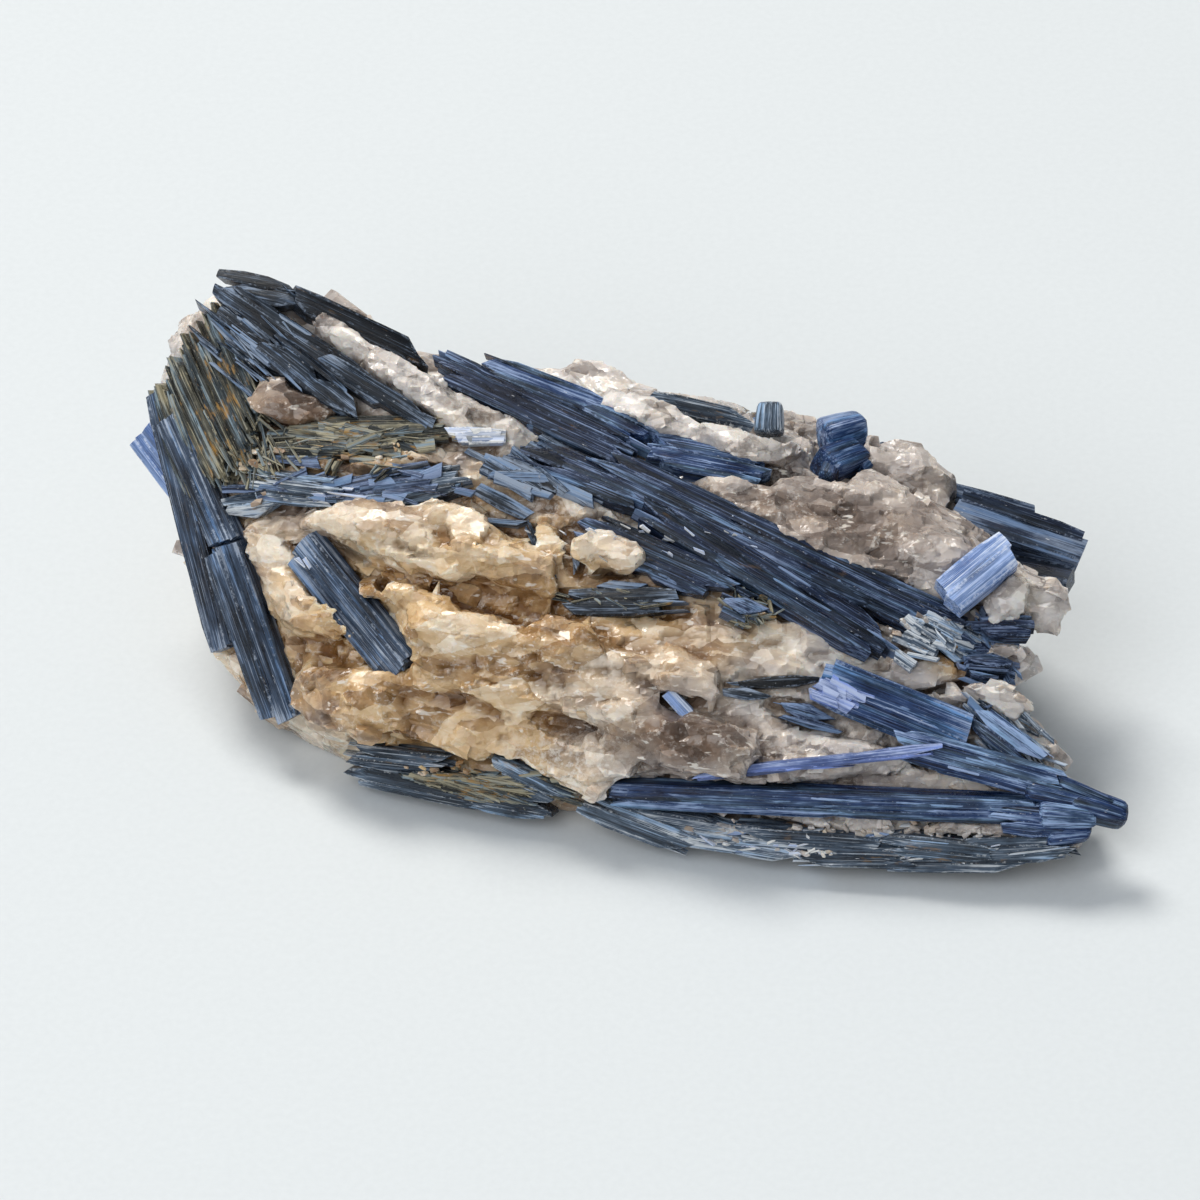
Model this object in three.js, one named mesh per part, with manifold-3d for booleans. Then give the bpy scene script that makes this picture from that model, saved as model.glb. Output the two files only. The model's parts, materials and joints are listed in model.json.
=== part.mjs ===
// Kyanite in quartz: a broken lump of iron-stained quartz with blades of blue kyanite grown through it.
// Millimetres, +Z up. The lump rests on the flat broken face under it, and the origin is on that face.
import * as THREE from "three";
import { ConvexGeometry } from "three/addons/geometries/ConvexGeometry.js";
import { mergeVertices } from "three/addons/utils/BufferGeometryUtils.js";
import Module from "manifold-3d";

const wasm = await Module();
wasm.setup();

// Driving dimensions. A place on the specimen is given as it is seen from the front and above:
// millimetres to the right, millimetres up, and millimetres out of the stone's face towards the eye.
const EYE_ELEVATION = THREE.MathUtils.degToRad(42);
const EYE_CENTRE_HEIGHT = 25; // height over the resting face of the point seen at (0, 0)
const GAP = 0.3; // clearance between a crystal and what it grew in
const GRAIN_ANGLE = -16; // degrees, the way the quartz ledges run
const LATH_TAPER = 0.66; // width of a lath's ridge as a share of the lath
const GROOVE_SHARE = 0.12; // depth of the groove between two laths, as a share of the thickness
const MOST_RISE = 0.14; // how far one lath stands over another, as a share of the thickness
const MIN_ROUTE_STEP = 34; // a blade longer than this follows the stone in more than one straight run

// The lump, cut across at places along its length. crest is its far edge and edge its near one, each
// as [up in the view, height over the resting face]. floor is the height of its underside, back
// how far its far side reaches, and bulge how far the face stands out between crest and edge.
const SECTIONS = [
  { right: -67, crest: [34, 42], edge: [27, 37], floor: 34, back: 34, bulge: 0.5 },
  { right: -62, crest: [43, 49.5], edge: [3, 20], floor: 16, back: 42, bulge: 3 },
  { right: -57, crest: [47.5, 55], edge: [-8, 13], floor: 8, back: 44, bulge: 4.5 },
  { right: -52, crest: [46.5, 55], edge: [-15, 9], floor: 3, back: 46, bulge: 6 },
  { right: -45, crest: [45, 54], edge: [-19, 6.5], floor: 0, back: 46, bulge: 7 },
  { right: -34.5, crest: [40, 50], edge: [-24.5, 5.5], floor: 0, back: 44, bulge: 8 },
  { right: -25, crest: [35.5, 47], edge: [-27, 5.5], floor: 0, back: 42, bulge: 9 },
  { right: -12, crest: [32.5, 45], edge: [-29.5, 5], floor: 0, back: 40, bulge: 9.5 },
  { right: 0, crest: [30.5, 44], edge: [-31, 5], floor: 0, back: 39, bulge: 10 },
  { right: 15, crest: [29, 42], edge: [-34, 5], floor: 0, back: 37, bulge: 10.5 },
  { right: 28.5, crest: [25, 39], edge: [-35.5, 5], floor: 0, back: 34, bulge: 10 },
  { right: 42, crest: [22.5, 36.5], edge: [-36, 5], floor: 0, back: 31, bulge: 9 },
  { right: 52, crest: [16.5, 32], edge: [-36.5, 5.5], floor: 0, back: 25, bulge: 8 },
  { right: 59, crest: [12.5, 27.5], edge: [-35.5, 7], floor: 2, back: 19, bulge: 5 },
];
const FACE_STEPS = 6;

// Views and places

const sinE = Math.sin(EYE_ELEVATION);
const cosE = Math.cos(EYE_ELEVATION);
const OUT = new THREE.Vector3(0, -cosE, sinE);

function fromView(right, up, out) {
  return new THREE.Vector3(right, up * sinE - out * cosE, up * cosE + out * sinE + EYE_CENTRE_HEIGHT);
}

// How far out a point lies that is seen at this height in the view and stands this high.
function outAt(up, height) {
  return (height - EYE_CENTRE_HEIGHT - up * cosE) / sinE;
}

function sectionAt(right) {
  const last = SECTIONS.length - 1;
  let i = SECTIONS.findIndex((s) => s.right > right);
  i = i < 0 ? last : Math.max(i, 1);
  const [a, b] = [SECTIONS[i - 1], SECTIONS[i]];
  const t = THREE.MathUtils.clamp((right - a.right) / (b.right - a.right), 0, 1);
  const mix = (p, q) => p + (q - p) * t;
  return {
    crest: [mix(a.crest[0], b.crest[0]), mix(a.crest[1], b.crest[1])],
    edge: [mix(a.edge[0], b.edge[0]), mix(a.edge[1], b.edge[1])],
    floor: mix(a.floor, b.floor),
    back: mix(a.back, b.back),
    bulge: mix(a.bulge, b.bulge),
  };
}

// How far out the lump's face is, at a share t of the way from its crest to its near edge.
function faceOut(section, t) {
  const far = outAt(...section.crest);
  const near = outAt(...section.edge);
  return far + (near - far) * t + section.bulge * Math.sin(Math.PI * t) ** 0.8;
}

// The point that is lift out of the stone's face where it is seen at (right, up).
function onStone(right, up, lift = 0) {
  const section = sectionAt(right);
  const [top, low] = [section.crest[0], section.edge[0]];
  const t = THREE.MathUtils.clamp((top - up) / (top - low), 0, 1);
  return fromView(right, up, faceOut(section, t) + lift);
}

function stoneNormal(right, up) {
  const step = 4;
  const along = onStone(right + step, up).sub(onStone(right - step, up));
  const across = onStone(right, up + step).sub(onStone(right, up - step));
  return along.cross(across).normalize();
}

// Random numbers that are the same on every run.
function dice(seed) {
  let state = seed * 2654435761;
  return (low = 0, high = 1) => {
    state = (state + 0x6d2b79f5) | 0;
    let t = Math.imul(state ^ (state >>> 15), 1 | state);
    t = (t + Math.imul(t ^ (t >>> 7), 61 | t)) ^ t;
    return low + (((t ^ (t >>> 14)) >>> 0) / 4294967296) * (high - low);
  };
}

// Solids

function solidOf(geometry) {
  const bare = geometry.clone();
  bare.deleteAttribute("normal");
  bare.deleteAttribute("uv");
  const merged = mergeVertices(bare, 1e-4);
  const mesh = { numProp: 3, vertProperties: merged.attributes.position.array };
  return new wasm.Manifold(new wasm.Mesh({ ...mesh, triVerts: new Uint32Array(merged.index.array) }));
}

function geometryOf(solid) {
  const mesh = solid.getMesh();
  const geometry = new THREE.BufferGeometry();
  geometry.setAttribute("position", new THREE.BufferAttribute(mesh.vertProperties, 3));
  geometry.setIndex(new THREE.BufferAttribute(mesh.triVerts, 1));
  const flat = geometry.toNonIndexed();
  flat.computeVertexNormals();
  return flat;
}

function join(solids) {
  return solids.reduce((whole, next) => whole.add(next));
}

function largestPiece(solid) {
  return solid.decompose().reduce((a, b) => (a.volume() > b.volume() ? a : b));
}

// A closed skin over rings of equal length, each a list of points. cap is how each end is divided into
// triangles: from the ring's first point unless given.
function skin(rings, cap) {
  const sides = rings[0].length;
  const fan = Array.from({ length: sides - 2 }, (_, s) => [0, s + 1, s + 2]);
  const position = rings.flat().flatMap((p) => [p.x, p.y, p.z]);
  const index = [];
  for (let r = 0; r + 1 < rings.length; r++) {
    for (let s = 0; s < sides; s++) {
      const [a, b] = [r * sides + s, r * sides + ((s + 1) % sides)];
      index.push(a, b, b + sides, a, b + sides, a + sides);
    }
  }
  const end = (rings.length - 1) * sides;
  (cap ?? fan).forEach(([a, b, c]) => index.push(a, c, b, end + a, end + b, end + c));
  const geometry = new THREE.BufferGeometry();
  geometry.setAttribute("position", new THREE.Float32BufferAttribute(position, 3));
  geometry.setIndex(index);
  const made = solidOf(geometry);
  return made.volume() < 0 ? solidOf(geometry.setIndex(index.reverse())) : made;
}

// The quartz

function lump() {
  const rough = dice(7);
  const rings = SECTIONS.map((section) => {
    const ring = [];
    for (let i = 0; i <= FACE_STEPS; i++) {
      const t = i / FACE_STEPS;
      const up = THREE.MathUtils.lerp(section.crest[0], section.edge[0], t);
      ring.push(fromView(section.right, up, faceOut(section, t)));
    }
    const crest = ring[0];
    const edge = ring[FACE_STEPS];
    const { floor, back } = section;
    const foot = edge.y + Math.min(3.5, (back - edge.y) / 3);
    ring.push(new THREE.Vector3(section.right, foot, floor));
    ring.push(new THREE.Vector3(section.right, back, floor));
    ring.push(new THREE.Vector3(section.right, back + 2, THREE.MathUtils.lerp(floor, crest.z, 0.55)));
    ring.push(new THREE.Vector3(section.right, crest.y + 4, crest.z - 4));
    ring.forEach((p, i) => {
      const onFloor = i > FACE_STEPS && i < FACE_STEPS + 3;
      if (!onFloor && i > 0 && i !== FACE_STEPS) p.addScaledVector(OUT, rough(-0.8, 0.8));
    });
    return ring;
  });
  return skin(rings);
}

// An angular splinter: the hull of a box with its corners knocked about, thinner on its outer side.
function splinter(centre, along, normal, size, roll) {
  const [length, width, thickness] = size;
  const side = new THREE.Vector3().crossVectors(normal, along).normalize();
  const ahead = new THREE.Vector3().crossVectors(side, normal).normalize();
  const corners = [];
  for (const x of [-1, 1]) {
    for (const y of [-1, 1]) {
      for (const z of [-1, 1]) {
        const taper = z > 0 ? 0.7 : 1;
        const at = centre.clone();
        at.addScaledVector(ahead, (x * length * (z > 0 ? 0.4 : 0.5)) * roll(0.9, 1.08));
        at.addScaledVector(side, y * width * 0.5 * taper * roll(0.6, 1.15));
        at.addScaledVector(normal, z * thickness * 0.5 * roll(0.7, 1.1));
        corners.push(at);
      }
    }
  }
  return solidOf(new ConvexGeometry(corners));
}

// Ledges of the front face, placed one by one: [right, up, length, width, thickness, angle, lift].
const LEDGES = [
  [-40, -1, 16, 12, 6, -14, 0.6],
  [-38, -15, 18, 10, 7, -24, 1.4],
  [-24, 8.5, 34, 9, 5, -18, 1.0],
  [-3, 7, 20, 7, 4.5, -16, 0.9],
  [-12, -6.5, 40, 8, 6, -13, 1.8],
  [-14, -13, 34, 7, 5, -12, 1.4],
  [4, -10, 30, 7, 6, -9, 1.5],
  [-22, -20, 24, 7, 5, -16, 0.6],
  [-4, -24, 15, 9, 6, -26, 1.2],
  [12, -21, 26, 10, 6.5, -11, 1.6],
  [34, -24, 30, 6, 4, 6, 0.4],
  [30, 16, 34, 7, 5, -9, 0.9],
  [38, 10.5, 34, 8, 5, -15, 1.3],
  [44, 4, 26, 7, 5, -19, 0.9],
  [12, 24, 26, 8, 5, -13, 0.4],
  [46, 18, 22, 6, 5, -33, 0.2],
  [52, 9, 16, 9, 6, -36, 0.6],
  [-33, 36, 30, 7, 4, -32, 0.2],
  [-22, 30, 26, 7, 4, -28, 0.5],
  [-45, 30, 14, 7, 4, -22, 0.4],
];

// Lobes that reach past the lump at its broken right end: [right, up, out, length, width, thickness, angle].
const LOBES = [
  [57, 4, 5, 16, 10, 9, -30],
  [62.5, 1.5, 2, 15, 7, 7, -24],
  [59, -7.5, 7, 13, 6, 6, -28],
  [58, -14, 9, 12, 7, 8, -35],
  [60, -21, 10, 16, 8, 8, -34],
  [65, -28, 9, 17, 8, 8, -20],
  [63, -33, 7, 20, 9, 7, -4],
  [-56.5, -9, -4.5, 10, 5, 6, -64],
  [-64.5, 13, -5, 10, 5, 6, -72],
];

function ledges() {
  return LEDGES.map(([right, up, length, width, thickness, angle, lift], i) => {
    const turn = THREE.MathUtils.degToRad(angle);
    const here = onStone(right, up, lift);
    const ahead = onStone(right + Math.cos(turn), up + Math.sin(turn), lift).sub(here);
    return splinter(here, ahead, stoneNormal(right, up), [length, width, thickness], dice(100 + i));
  });
}

function lobes() {
  return LOBES.map(([right, up, out, length, width, thickness, angle], i) => {
    const turn = THREE.MathUtils.degToRad(angle);
    const here = fromView(right, up, out);
    const ahead = fromView(right + Math.cos(turn), up + Math.sin(turn), out).sub(here);
    return splinter(here, ahead, OUT, [length, width, thickness], dice(300 + i));
  });
}

// Ledges of the far side, which run round the back in rows with no two alike. The top row stays
// far enough under the crest to be out of sight from the front.
const BACK_ROWS = [
  { below: 40, reach: 0, first: -50 },
  { below: 23, reach: 1.5, first: -44 },
  { below: 13, reach: -2.5, first: -47 },
];

function backLedges() {
  const roll = dice(11);
  const made = [];
  BACK_ROWS.forEach(({ below, reach, first }) => {
    for (let right = first; right < 50; right += roll(17, 22)) {
      const section = sectionAt(right);
      const crest = fromView(right, section.crest[0], outAt(...section.crest));
      const height = Math.max(section.floor + 6, crest.z - below + roll(-2, 2));
      const lean = THREE.MathUtils.degToRad(GRAIN_ANGLE + roll(-10, 10));
      const ahead = new THREE.Vector3(Math.cos(lean), 0, Math.sin(lean));
      const facing = new THREE.Vector3(roll(-0.2, 0.2), 1, roll(-0.1, 0.3)).normalize();
      const size = [roll(20, 28), roll(9, 13), roll(5, 8)];
      const centre = new THREE.Vector3(right, section.back + reach + roll(-1.2, 0.8), height);
      made.push(splinter(centre, ahead, facing, size, roll));
    }
  });
  return made;
}

// Open cracks in the front face: [from right, from up, to right, to up, width, depth].
const CRACKS = [
  [-34, 2.5, -22, 0.5, 1.6, 3],
  [-1.5, -15, 14, -13.5, 1.8, 3.5],
  [-7, -19.5, 1.5, -14.5, 1.4, 3],
  [-33, 3.5, -30, -2, 2, 3],
  [12.5, 0.5, 24, -3, 1.6, 3],
  [44, -14, 58, -12, 2.2, 4],
  [54, -11, 60, -16, 2.4, 4.5],
  [24, -16, 29, -20, 1.2, 2.5],
];

function cracks() {
  return CRACKS.map(([r0, u0, r1, u1, width, depth], i) => {
    const [from, to] = [onStone(r0, u0), onStone(r1, u1)];
    const middle = onStone((r0 + r1) / 2, (u0 + u1) / 2, 1.2 - depth / 2);
    const normal = stoneNormal((r0 + r1) / 2, (u0 + u1) / 2);
    const size = [from.distanceTo(to), width, depth + 5];
    return splinter(middle, to.sub(from), normal, size, dice(500 + i));
  });
}

// The kyanite. Each blade is [from, to, width, thickness, options], with each end as [right, up, lift]:
// lift is how far the middle of the blade stands out of the stone there. roll tips its broad face
// about its length, laths is the number of laths it splits into, and ragged how unequal they end.
const SPRAYS = {
  crest_spray: {
    colour: 0x2c3550,
    blades: [
      [[-59.5, 48.3, -0.5], [-43, 45, 0.5], 4.2, 4, { laths: 3, ragged: 2 }],
      [[-47.5, 46, 0.2], [-25.5, 35.6, 0.6], 4, 4, { laths: 3, ragged: 1.2 }],
      [[-58.5, 47.5, 1.2], [-24.2, 26.6, 0.8], 5.6, 3.6, { laths: 3, ragged: 3, roll: 8 }],
      [[-59.5, 46.5, 1.6], [-35.2, 27, 0.9], 7, 3.4, { laths: 3, ragged: 4, roll: -6 }],
    ],
  },
  fan_spray: {
    colour: 0x4a4c48,
    blades: [
      [[-67, 33.5, 0.6], [-59.5, 14.5, 0.8], 4.8, 3.4, { laths: 3, ragged: 3 }],
      [[-65, 37.6, 0.8], [-55, 17, 1.2], 5, 3.4, { laths: 3, ragged: 3 }],
      [[-62.6, 41.4, 0.8], [-51.8, 19.4, 1.4], 5, 3.4, { laths: 3, ragged: 3 }],
      [[-60.2, 45.5, 0.8], [-50.2, 25, 1.2], 4.4, 3.2, { laths: 3, ragged: 3 }],
    ],
  },
  left_edge_blades: {
    colour: 0x2f3a58,
    blades: [
      [[-66.8, 31.5, -0.6], [-56.6, -8, -0.2], 3.6, 4.6, { laths: 2, ragged: 2, roll: -25 }],
      [[-64.8, 28, 0.5], [-55.8, 8, 0.9], 4.8, 3.4, { laths: 3, ragged: 2, roll: -10 }],
    ],
  },
  wide_left_blade: {
    colour: 0x2b3554,
    blades: [[[-57, 8.6, 1.4], [-47.6, -18.4, 1.6], 6, 3.6, { laths: 3, ragged: 1.6, roll: -6 }]],
  },
  pale_stub: {
    colour: 0x8fa6cf,
    blades: [[[-62, 15.5, -5], [-69.8, 25.6, -4.2], 5, 3, { laths: 2, ragged: 1 }]],
  },
  olive_bar: {
    colour: 0x41473f,
    blades: [
      [[-51, 25.2, 0.2], [-14.2, 25.4, 0.6], 4.2, 3.2, { laths: 3, ragged: 2.4 }],
      [[-49, 22.6, 0.2], [-27, 22.2, 0.4], 3.6, 3, { laths: 2, ragged: 3 }],
    ],
  },
  steel_bar: {
    colour: 0x44546f,
    blades: [
      [[-53.5, 17.6, 0.4], [-37, 15.6, 0.8], 4.6, 3.4, { laths: 3, ragged: 2.4, roll: 10 }],
      [[-41, 14, 0.7], [-18, 18.4, 0.6], 4.8, 3.2, { laths: 3, ragged: 2.6, roll: -6 }],
      [[-57.5, 13.6, 0.3], [-45, 15, 0.4], 3.6, 3, { laths: 2, ragged: 2 }],
    ],
  },
  inset_blade: {
    colour: 0x33446b,
    blades: [[[-45, 8.6, 1.1], [-29.2, -10.8, 0.9], 6.4, 3.4, { laths: 3, ragged: 1.6, roll: 12 }]],
  },
  long_spray: {
    colour: 0x26335c,
    blades: [
      [[-26, 36, 0.8], [7, 20.4, 1.4], 5.2, 3.4, { laths: 3, ragged: 2.5, roll: 6 }],
      [[-12.5, 22.8, 0.6], [10, 13.4, 1.2], 5.4, 3.4, { laths: 3, ragged: 3 }],
      [[3, 19, 1.6], [57.4, -7.4, 2.2], 5.6, 4.2, { laths: 3, ragged: 3, roll: 8 }],
      [[5, 15, 1.5], [44, -8.4, 1.6], 6, 3.8, { laths: 3, ragged: 2.4, roll: -8 }],
      [[30, 6.4, 1.8], [55, -4.6, 2.2], 4.4, 3.6, { laths: 3, ragged: 2.6, roll: 12 }],
    ],
  },
  back_blades: {
    colour: 0x2e4478,
    blades: [
      [[-19.5, 35.4, 0.4], [2.4, 27, 0.6], 5, 4, { laths: 3, ragged: 2.4, roll: 14 }],
      [[-4, 29.2, 0.6], [9, 23, 0.8], 4.8, 4, { laths: 3, ragged: 2, roll: 10 }],
      [[6.5, 22.4, 0.8], [26.4, 18.6, 0.8], 5.6, 3.8, { laths: 3, ragged: 3, roll: 6 }],
    ],
  },
  ragged_blade: {
    colour: 0x27304c,
    blades: [
      [[-5, 11.8, 0.7], [21.5, 0, 1], 5.6, 3.6, { laths: 3, ragged: 3, roll: 8 }],
      [[17, 1.4, 1.2], [25.4, -2.4, 1.2], 6.4, 4, { laths: 3, ragged: 3 }],
    ],
  },
  dark_bar: {
    colour: 0x2b3a45,
    blades: [
      [[-7, -0.6, 0.3], [13.4, -0.4, 0.3], 4, 3.4, { laths: 3, ragged: 2.4 }],
      [[0.5, 2.2, 0.3], [8, 1.6, 0.2], 3, 3, { laths: 2, ragged: 2 }],
    ],
  },
  hook_needle: {
    colour: 0x3b4a52,
    blades: [
      [[-11.6, 12.2, 0.7], [-5.6, 1.8, 0.5], 1.6, 2.4, { laths: 2, ragged: 0.8 }],
      [[-18, 12.1, 0.4], [-11, 11.5, 0.7], 1.9, 2, { laths: 1, ragged: 0.5 }],
    ],
  },
  seed_crystal: {
    colour: 0x2b3a45,
    blades: [[[-5.2, 8.2, 0.8], [-2.6, 4.2, 0.6], 2.4, 2.2, { laths: 2, ragged: 0.6 }]],
  },
  rim_blade: {
    colour: 0x33466e,
    blades: [
      [[6.5, 30.2, 0], [24.6, 26, 0.4], 2.6, 3.4, { laths: 2, ragged: 1.6 }],
      [[25.2, 24.5, -1], [26, 29.8, 0.6], 4.4, 4, { laths: 2, ragged: 0.4 }],
    ],
  },
  knob_crystal: {
    colour: 0x2a4488,
    blades: [
      [[36, 20.4, -3], [36.4, 23, 3.4], 6.4, 5.6, { laths: 2, ragged: 0.8 }],
      [[37, 22.6, -3], [38, 26, 2], 5.6, 4.6, { laths: 2, ragged: 0.6 }],
    ],
  },
  pale_prism: {
    colour: 0x7e9ad0,
    blades: [[[51.2, 0, 6], [61, 7.8, 13.5], 5.6, 3.8, { laths: 3, ragged: 0.8, roll: -10 }]],
  },
  right_prisms: {
    colour: 0x2c4070,
    blades: [
      [[53, 14.2, 0.5], [72.8, 7.4, 1.6], 5, 4.2, { laths: 3, ragged: 1.2, roll: 10 }],
      [[53.5, 15.8, -1.4], [66, 12.2, 0], 2.6, 3, { laths: 2, ragged: 1 }],
      [[58.5, 6, -3.2], [71.8, 3.4, -1.2], 4.4, 4, { laths: 2, ragged: 1 }],
    ],
  },
  notch_blades: {
    colour: 0x2a3862,
    blades: [
      [[54.5, -4.2, 3], [66.5, -4.2, 5], 3.4, 3, { laths: 2, ragged: 2 }],
      [[53, -10, 2], [62.5, -10.6, 4.6], 4, 3.4, { laths: 3, ragged: 2.4 }],
    ],
  },
  violet_blade: {
    colour: 0x4a5f9c,
    blades: [[[32.2, -11.6, 1.1], [55.6, -21, 2], 6.8, 3.6, { laths: 3, ragged: 2.6, roll: 10 }]],
  },
  small_dark_blade: {
    colour: 0x222c4a,
    blades: [[[25, -15.6, 0.4], [36.6, -18.8, 0.4], 3.2, 2.8, { laths: 2, ragged: 1.4 }]],
  },
  black_needles: {
    colour: 0x262c33,
    blades: [
      [[17.2, -13.2, 0.4], [26, -14.6, 0.3], 1.6, 2.2, { laths: 1, ragged: 0.5 }],
      [[18.8, -12.6, 0.4], [33, -11.8, 0.4], 1.4, 2.2, { laths: 1, ragged: 0.5 }],
    ],
  },
  grey_needle: {
    colour: 0x8389a5,
    blades: [[[9.8, -13.4, 1.6], [15.4, -19.4, 1.2], 1.7, 1.6, { laths: 1, ragged: 0.4 }]],
  },
  lower_spray: {
    colour: 0x2f4577,
    blades: [
      [[0, -28.6, 0.6], [66, -31, 2.6], 3.8, 3.6, { laths: 3, ragged: 3, roll: 10 }],
      [[42.5, -20.6, 1.2], [69.5, -28, 3.4], 5, 4, { laths: 3, ragged: 3, roll: 12 }],
      [[57, -32, 2.4], [71.5, -33.6, 3], 4.4, 4, { laths: 3, ragged: 2 }],
      [[64, -28.6, 3], [77.4, -31.4, 2.4], 5.6, 5, { laths: 3, ragged: 0.8 }],
      [[54, -16, 1.5], [66, -25, 3], 4.6, 4, { laths: 3, ragged: 2.4, roll: 20 }],
    ],
  },
  violet_needle: {
    colour: 0x5a68a6,
    blades: [[[13, -26.2, 2.6], [50.8, -21.8, 4.6], 1.5, 1.6, { laths: 1, ragged: 0.4 }]],
  },
  bottom_bundle: {
    colour: 0x53677f,
    blades: [
      [[-4, -29.6, 0], [15.5, -37, 0.6], 3.8, 3.8, { laths: 3, ragged: 3 }],
      [[2, -31.8, 0], [44, -37.6, 1.6], 4.2, 4, { laths: 3, ragged: 4 }],
      [[16, -35.8, 0.6], [71, -36.6, 2.2], 4.2, 4, { laths: 3, ragged: 4 }],
      [[40, -38.4, 0], [66, -38.2, 0.8], 3.4, 3.6, { laths: 3, ragged: 3 }],
    ],
  },
  bottom_left_blades: {
    colour: 0x55606a,
    blades: [
      [[-38.5, -23, 0.2], [-21, -24.8, 0.6], 3.6, 3.2, { laths: 2, ragged: 2 }],
      [[-39, -24.8, -0.6], [-4.5, -31.6, 0], 4.4, 4, { laths: 3, ragged: 4 }],
      [[-16.4, -24, 1], [-3.4, -30.4, 0.8], 3.4, 3, { laths: 2, ragged: 1.6 }],
    ],
  },
};

// Blades of the far side and the left end, which the front view hides: the ends are [x, y, z] in
// the part's own frame, and facing is the way the broad face looks.
const FAR_SPRAYS = {
  far_long_blades: {
    colour: 0x2a3a66,
    facing: [0, 1, 0.25],
    blades: [
      [[-44, 46.6, 33], [-4, 41.4, 15], 6, 4, { laths: 3, ragged: 3 }],
      [[-34, 45.6, 33], [2, 40.8, 20], 4.4, 3.6, { laths: 3, ragged: 3 }],
    ],
  },
  far_cross_blade: {
    colour: 0x3a5088,
    facing: [0, 1, 0.1],
    blades: [[[4, 40.6, 10], [30, 36.2, 31], 5.4, 3.8, { laths: 3, ragged: 2 }]],
  },
  far_low_blade: {
    colour: 0x2f3f60,
    facing: [0.1, 1, 0],
    blades: [[[24, 36, 9], [48, 29.6, 12.5], 4.6, 3.6, { laths: 3, ragged: 2.4 }]],
  },
  far_left_blade: {
    colour: 0x3c4654,
    facing: [-0.2, 1, 0],
    blades: [[[-58, 44.2, 36], [-47, 46.2, 13], 5.4, 3.8, { laths: 3, ragged: 2.6 }]],
  },
};

// The points that a blade runs through: straight, or bent with the stone if it is long.
function routeOf(from, to, place) {
  const length = Math.hypot(to[0] - from[0], to[1] - from[1]);
  const runs = Math.max(1, Math.ceil(length / MIN_ROUTE_STEP));
  const mix = (i, t) => from[i] + (to[i] - from[i]) * t;
  return Array.from({ length: runs + 1 }, (_, i) => {
    const t = i / runs;
    return place(mix(0, t), mix(1, t), mix(2, t));
  });
}

// The axes of a blade: the way its broad face looks, and across.
function bladeAxes(route, facing, tip) {
  const along = route[route.length - 1].clone().sub(route[0]).normalize();
  const normal = facing.clone().addScaledVector(along, -facing.dot(along)).normalize();
  normal.applyAxisAngle(along, THREE.MathUtils.degToRad(tip));
  return { normal, side: new THREE.Vector3().crossVectors(along, normal) };
}

// Moves the ends of a route outwards along its first and last run.
function lengthen(points, atStart, atEnd) {
  const last = points.length - 1;
  const first = points[0].clone().sub(points[1]).normalize();
  const final = points[last].clone().sub(points[last - 1]).normalize();
  points[0].addScaledVector(first, atStart);
  points[last].addScaledVector(final, atEnd);
}

// A blade is one crystal made of laths side by side. Its section has a flat underside and a ridge for
// each lath, with a groove between two, and its ends are stepped because the laths end unevenly.
function blade(route, facing, width, thickness, options, roll) {
  const { laths = 3, ragged = 2, roll: tip = 0 } = options;
  const { normal, side } = bladeAxes(route, facing, tip);
  const pitch = width / laths;
  const half = thickness / 2;
  const corners = [{ x: -width / 2, y: -half, lath: 0 }, { x: width / 2, y: -half, lath: laths - 1 }];
  for (let lath = laths - 1; lath >= 0; lath--) {
    const middle = (lath + 0.5) * pitch - width / 2;
    const height = half + (laths > 1 ? roll(-MOST_RISE, MOST_RISE) * thickness : 0);
    const ridge = (pitch / 2) * LATH_TAPER;
    corners.push({ x: middle + ridge, y: height, lath }, { x: middle - ridge, y: height, lath });
    if (lath > 0) corners.push({ x: middle - pitch / 2, y: half - GROOVE_SHARE * thickness, lath });
  }
  const shortfalls = Array.from({ length: laths }, (_, lath) => ({
    start: lath === 0 ? 0 : roll(0, ragged),
    end: lath === laths - 1 ? 0 : roll(0, ragged),
  }));
  const tracks = corners.map(({ x, y, lath }) => {
    const track = route.map((p) => p.clone().addScaledVector(side, x).addScaledVector(normal, y));
    lengthen(track, -shortfalls[lath].start, -shortfalls[lath].end);
    return track;
  });
  const cap = THREE.ShapeUtils.triangulateShape(corners.map(({ x, y }) => new THREE.Vector2(x, y)), []);
  return skin(route.map((_, i) => tracks.map((track) => track[i])), cap);
}

// The plain bar that a blade's place in the quartz is cut with, larger by the clearance.
function socketBar(route, facing, width, thickness, options) {
  const { normal, side } = bladeAxes(route, facing, options.roll ?? 0);
  const across = width / 2 + GAP;
  const deep = thickness * (0.5 + MOST_RISE) + GAP;
  const tracks = [[-1, -1], [1, -1], [1, 1], [-1, 1]].map(([x, y]) => {
    const track = route.map((p) => p.clone().addScaledVector(side, x * across));
    track.forEach((p) => p.addScaledVector(normal, y * deep));
    lengthen(track, GAP, GAP);
    return track;
  });
  return skin(route.map((_, i) => tracks.map((track) => track[i])));
}

// All the blades of one spray as one solid, made by form: either blade or socketBar.
function spray({ blades, facing }, seed, form) {
  return join(
    blades.map(([from, to, width, thickness, options], i) => {
      const roll = dice(seed * 50 + i);
      if (facing) {
        const route = [new THREE.Vector3(...from), new THREE.Vector3(...to)];
        return form(route, new THREE.Vector3(...facing), width, thickness, options, roll);
      }
      const route = routeOf(from, to, onStone);
      const normal = stoneNormal((from[0] + to[0]) / 2, (from[1] + to[1]) / 2);
      return form(route, normal, width, thickness, options, roll);
    }),
  );
}

// A block over the resting face, to trim the underside flat.
function aboveTable() {
  const [wide, tall] = [400, 200];
  return solidOf(new THREE.BoxGeometry(wide, wide, tall).translate(0, 0, tall / 2));
}

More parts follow.
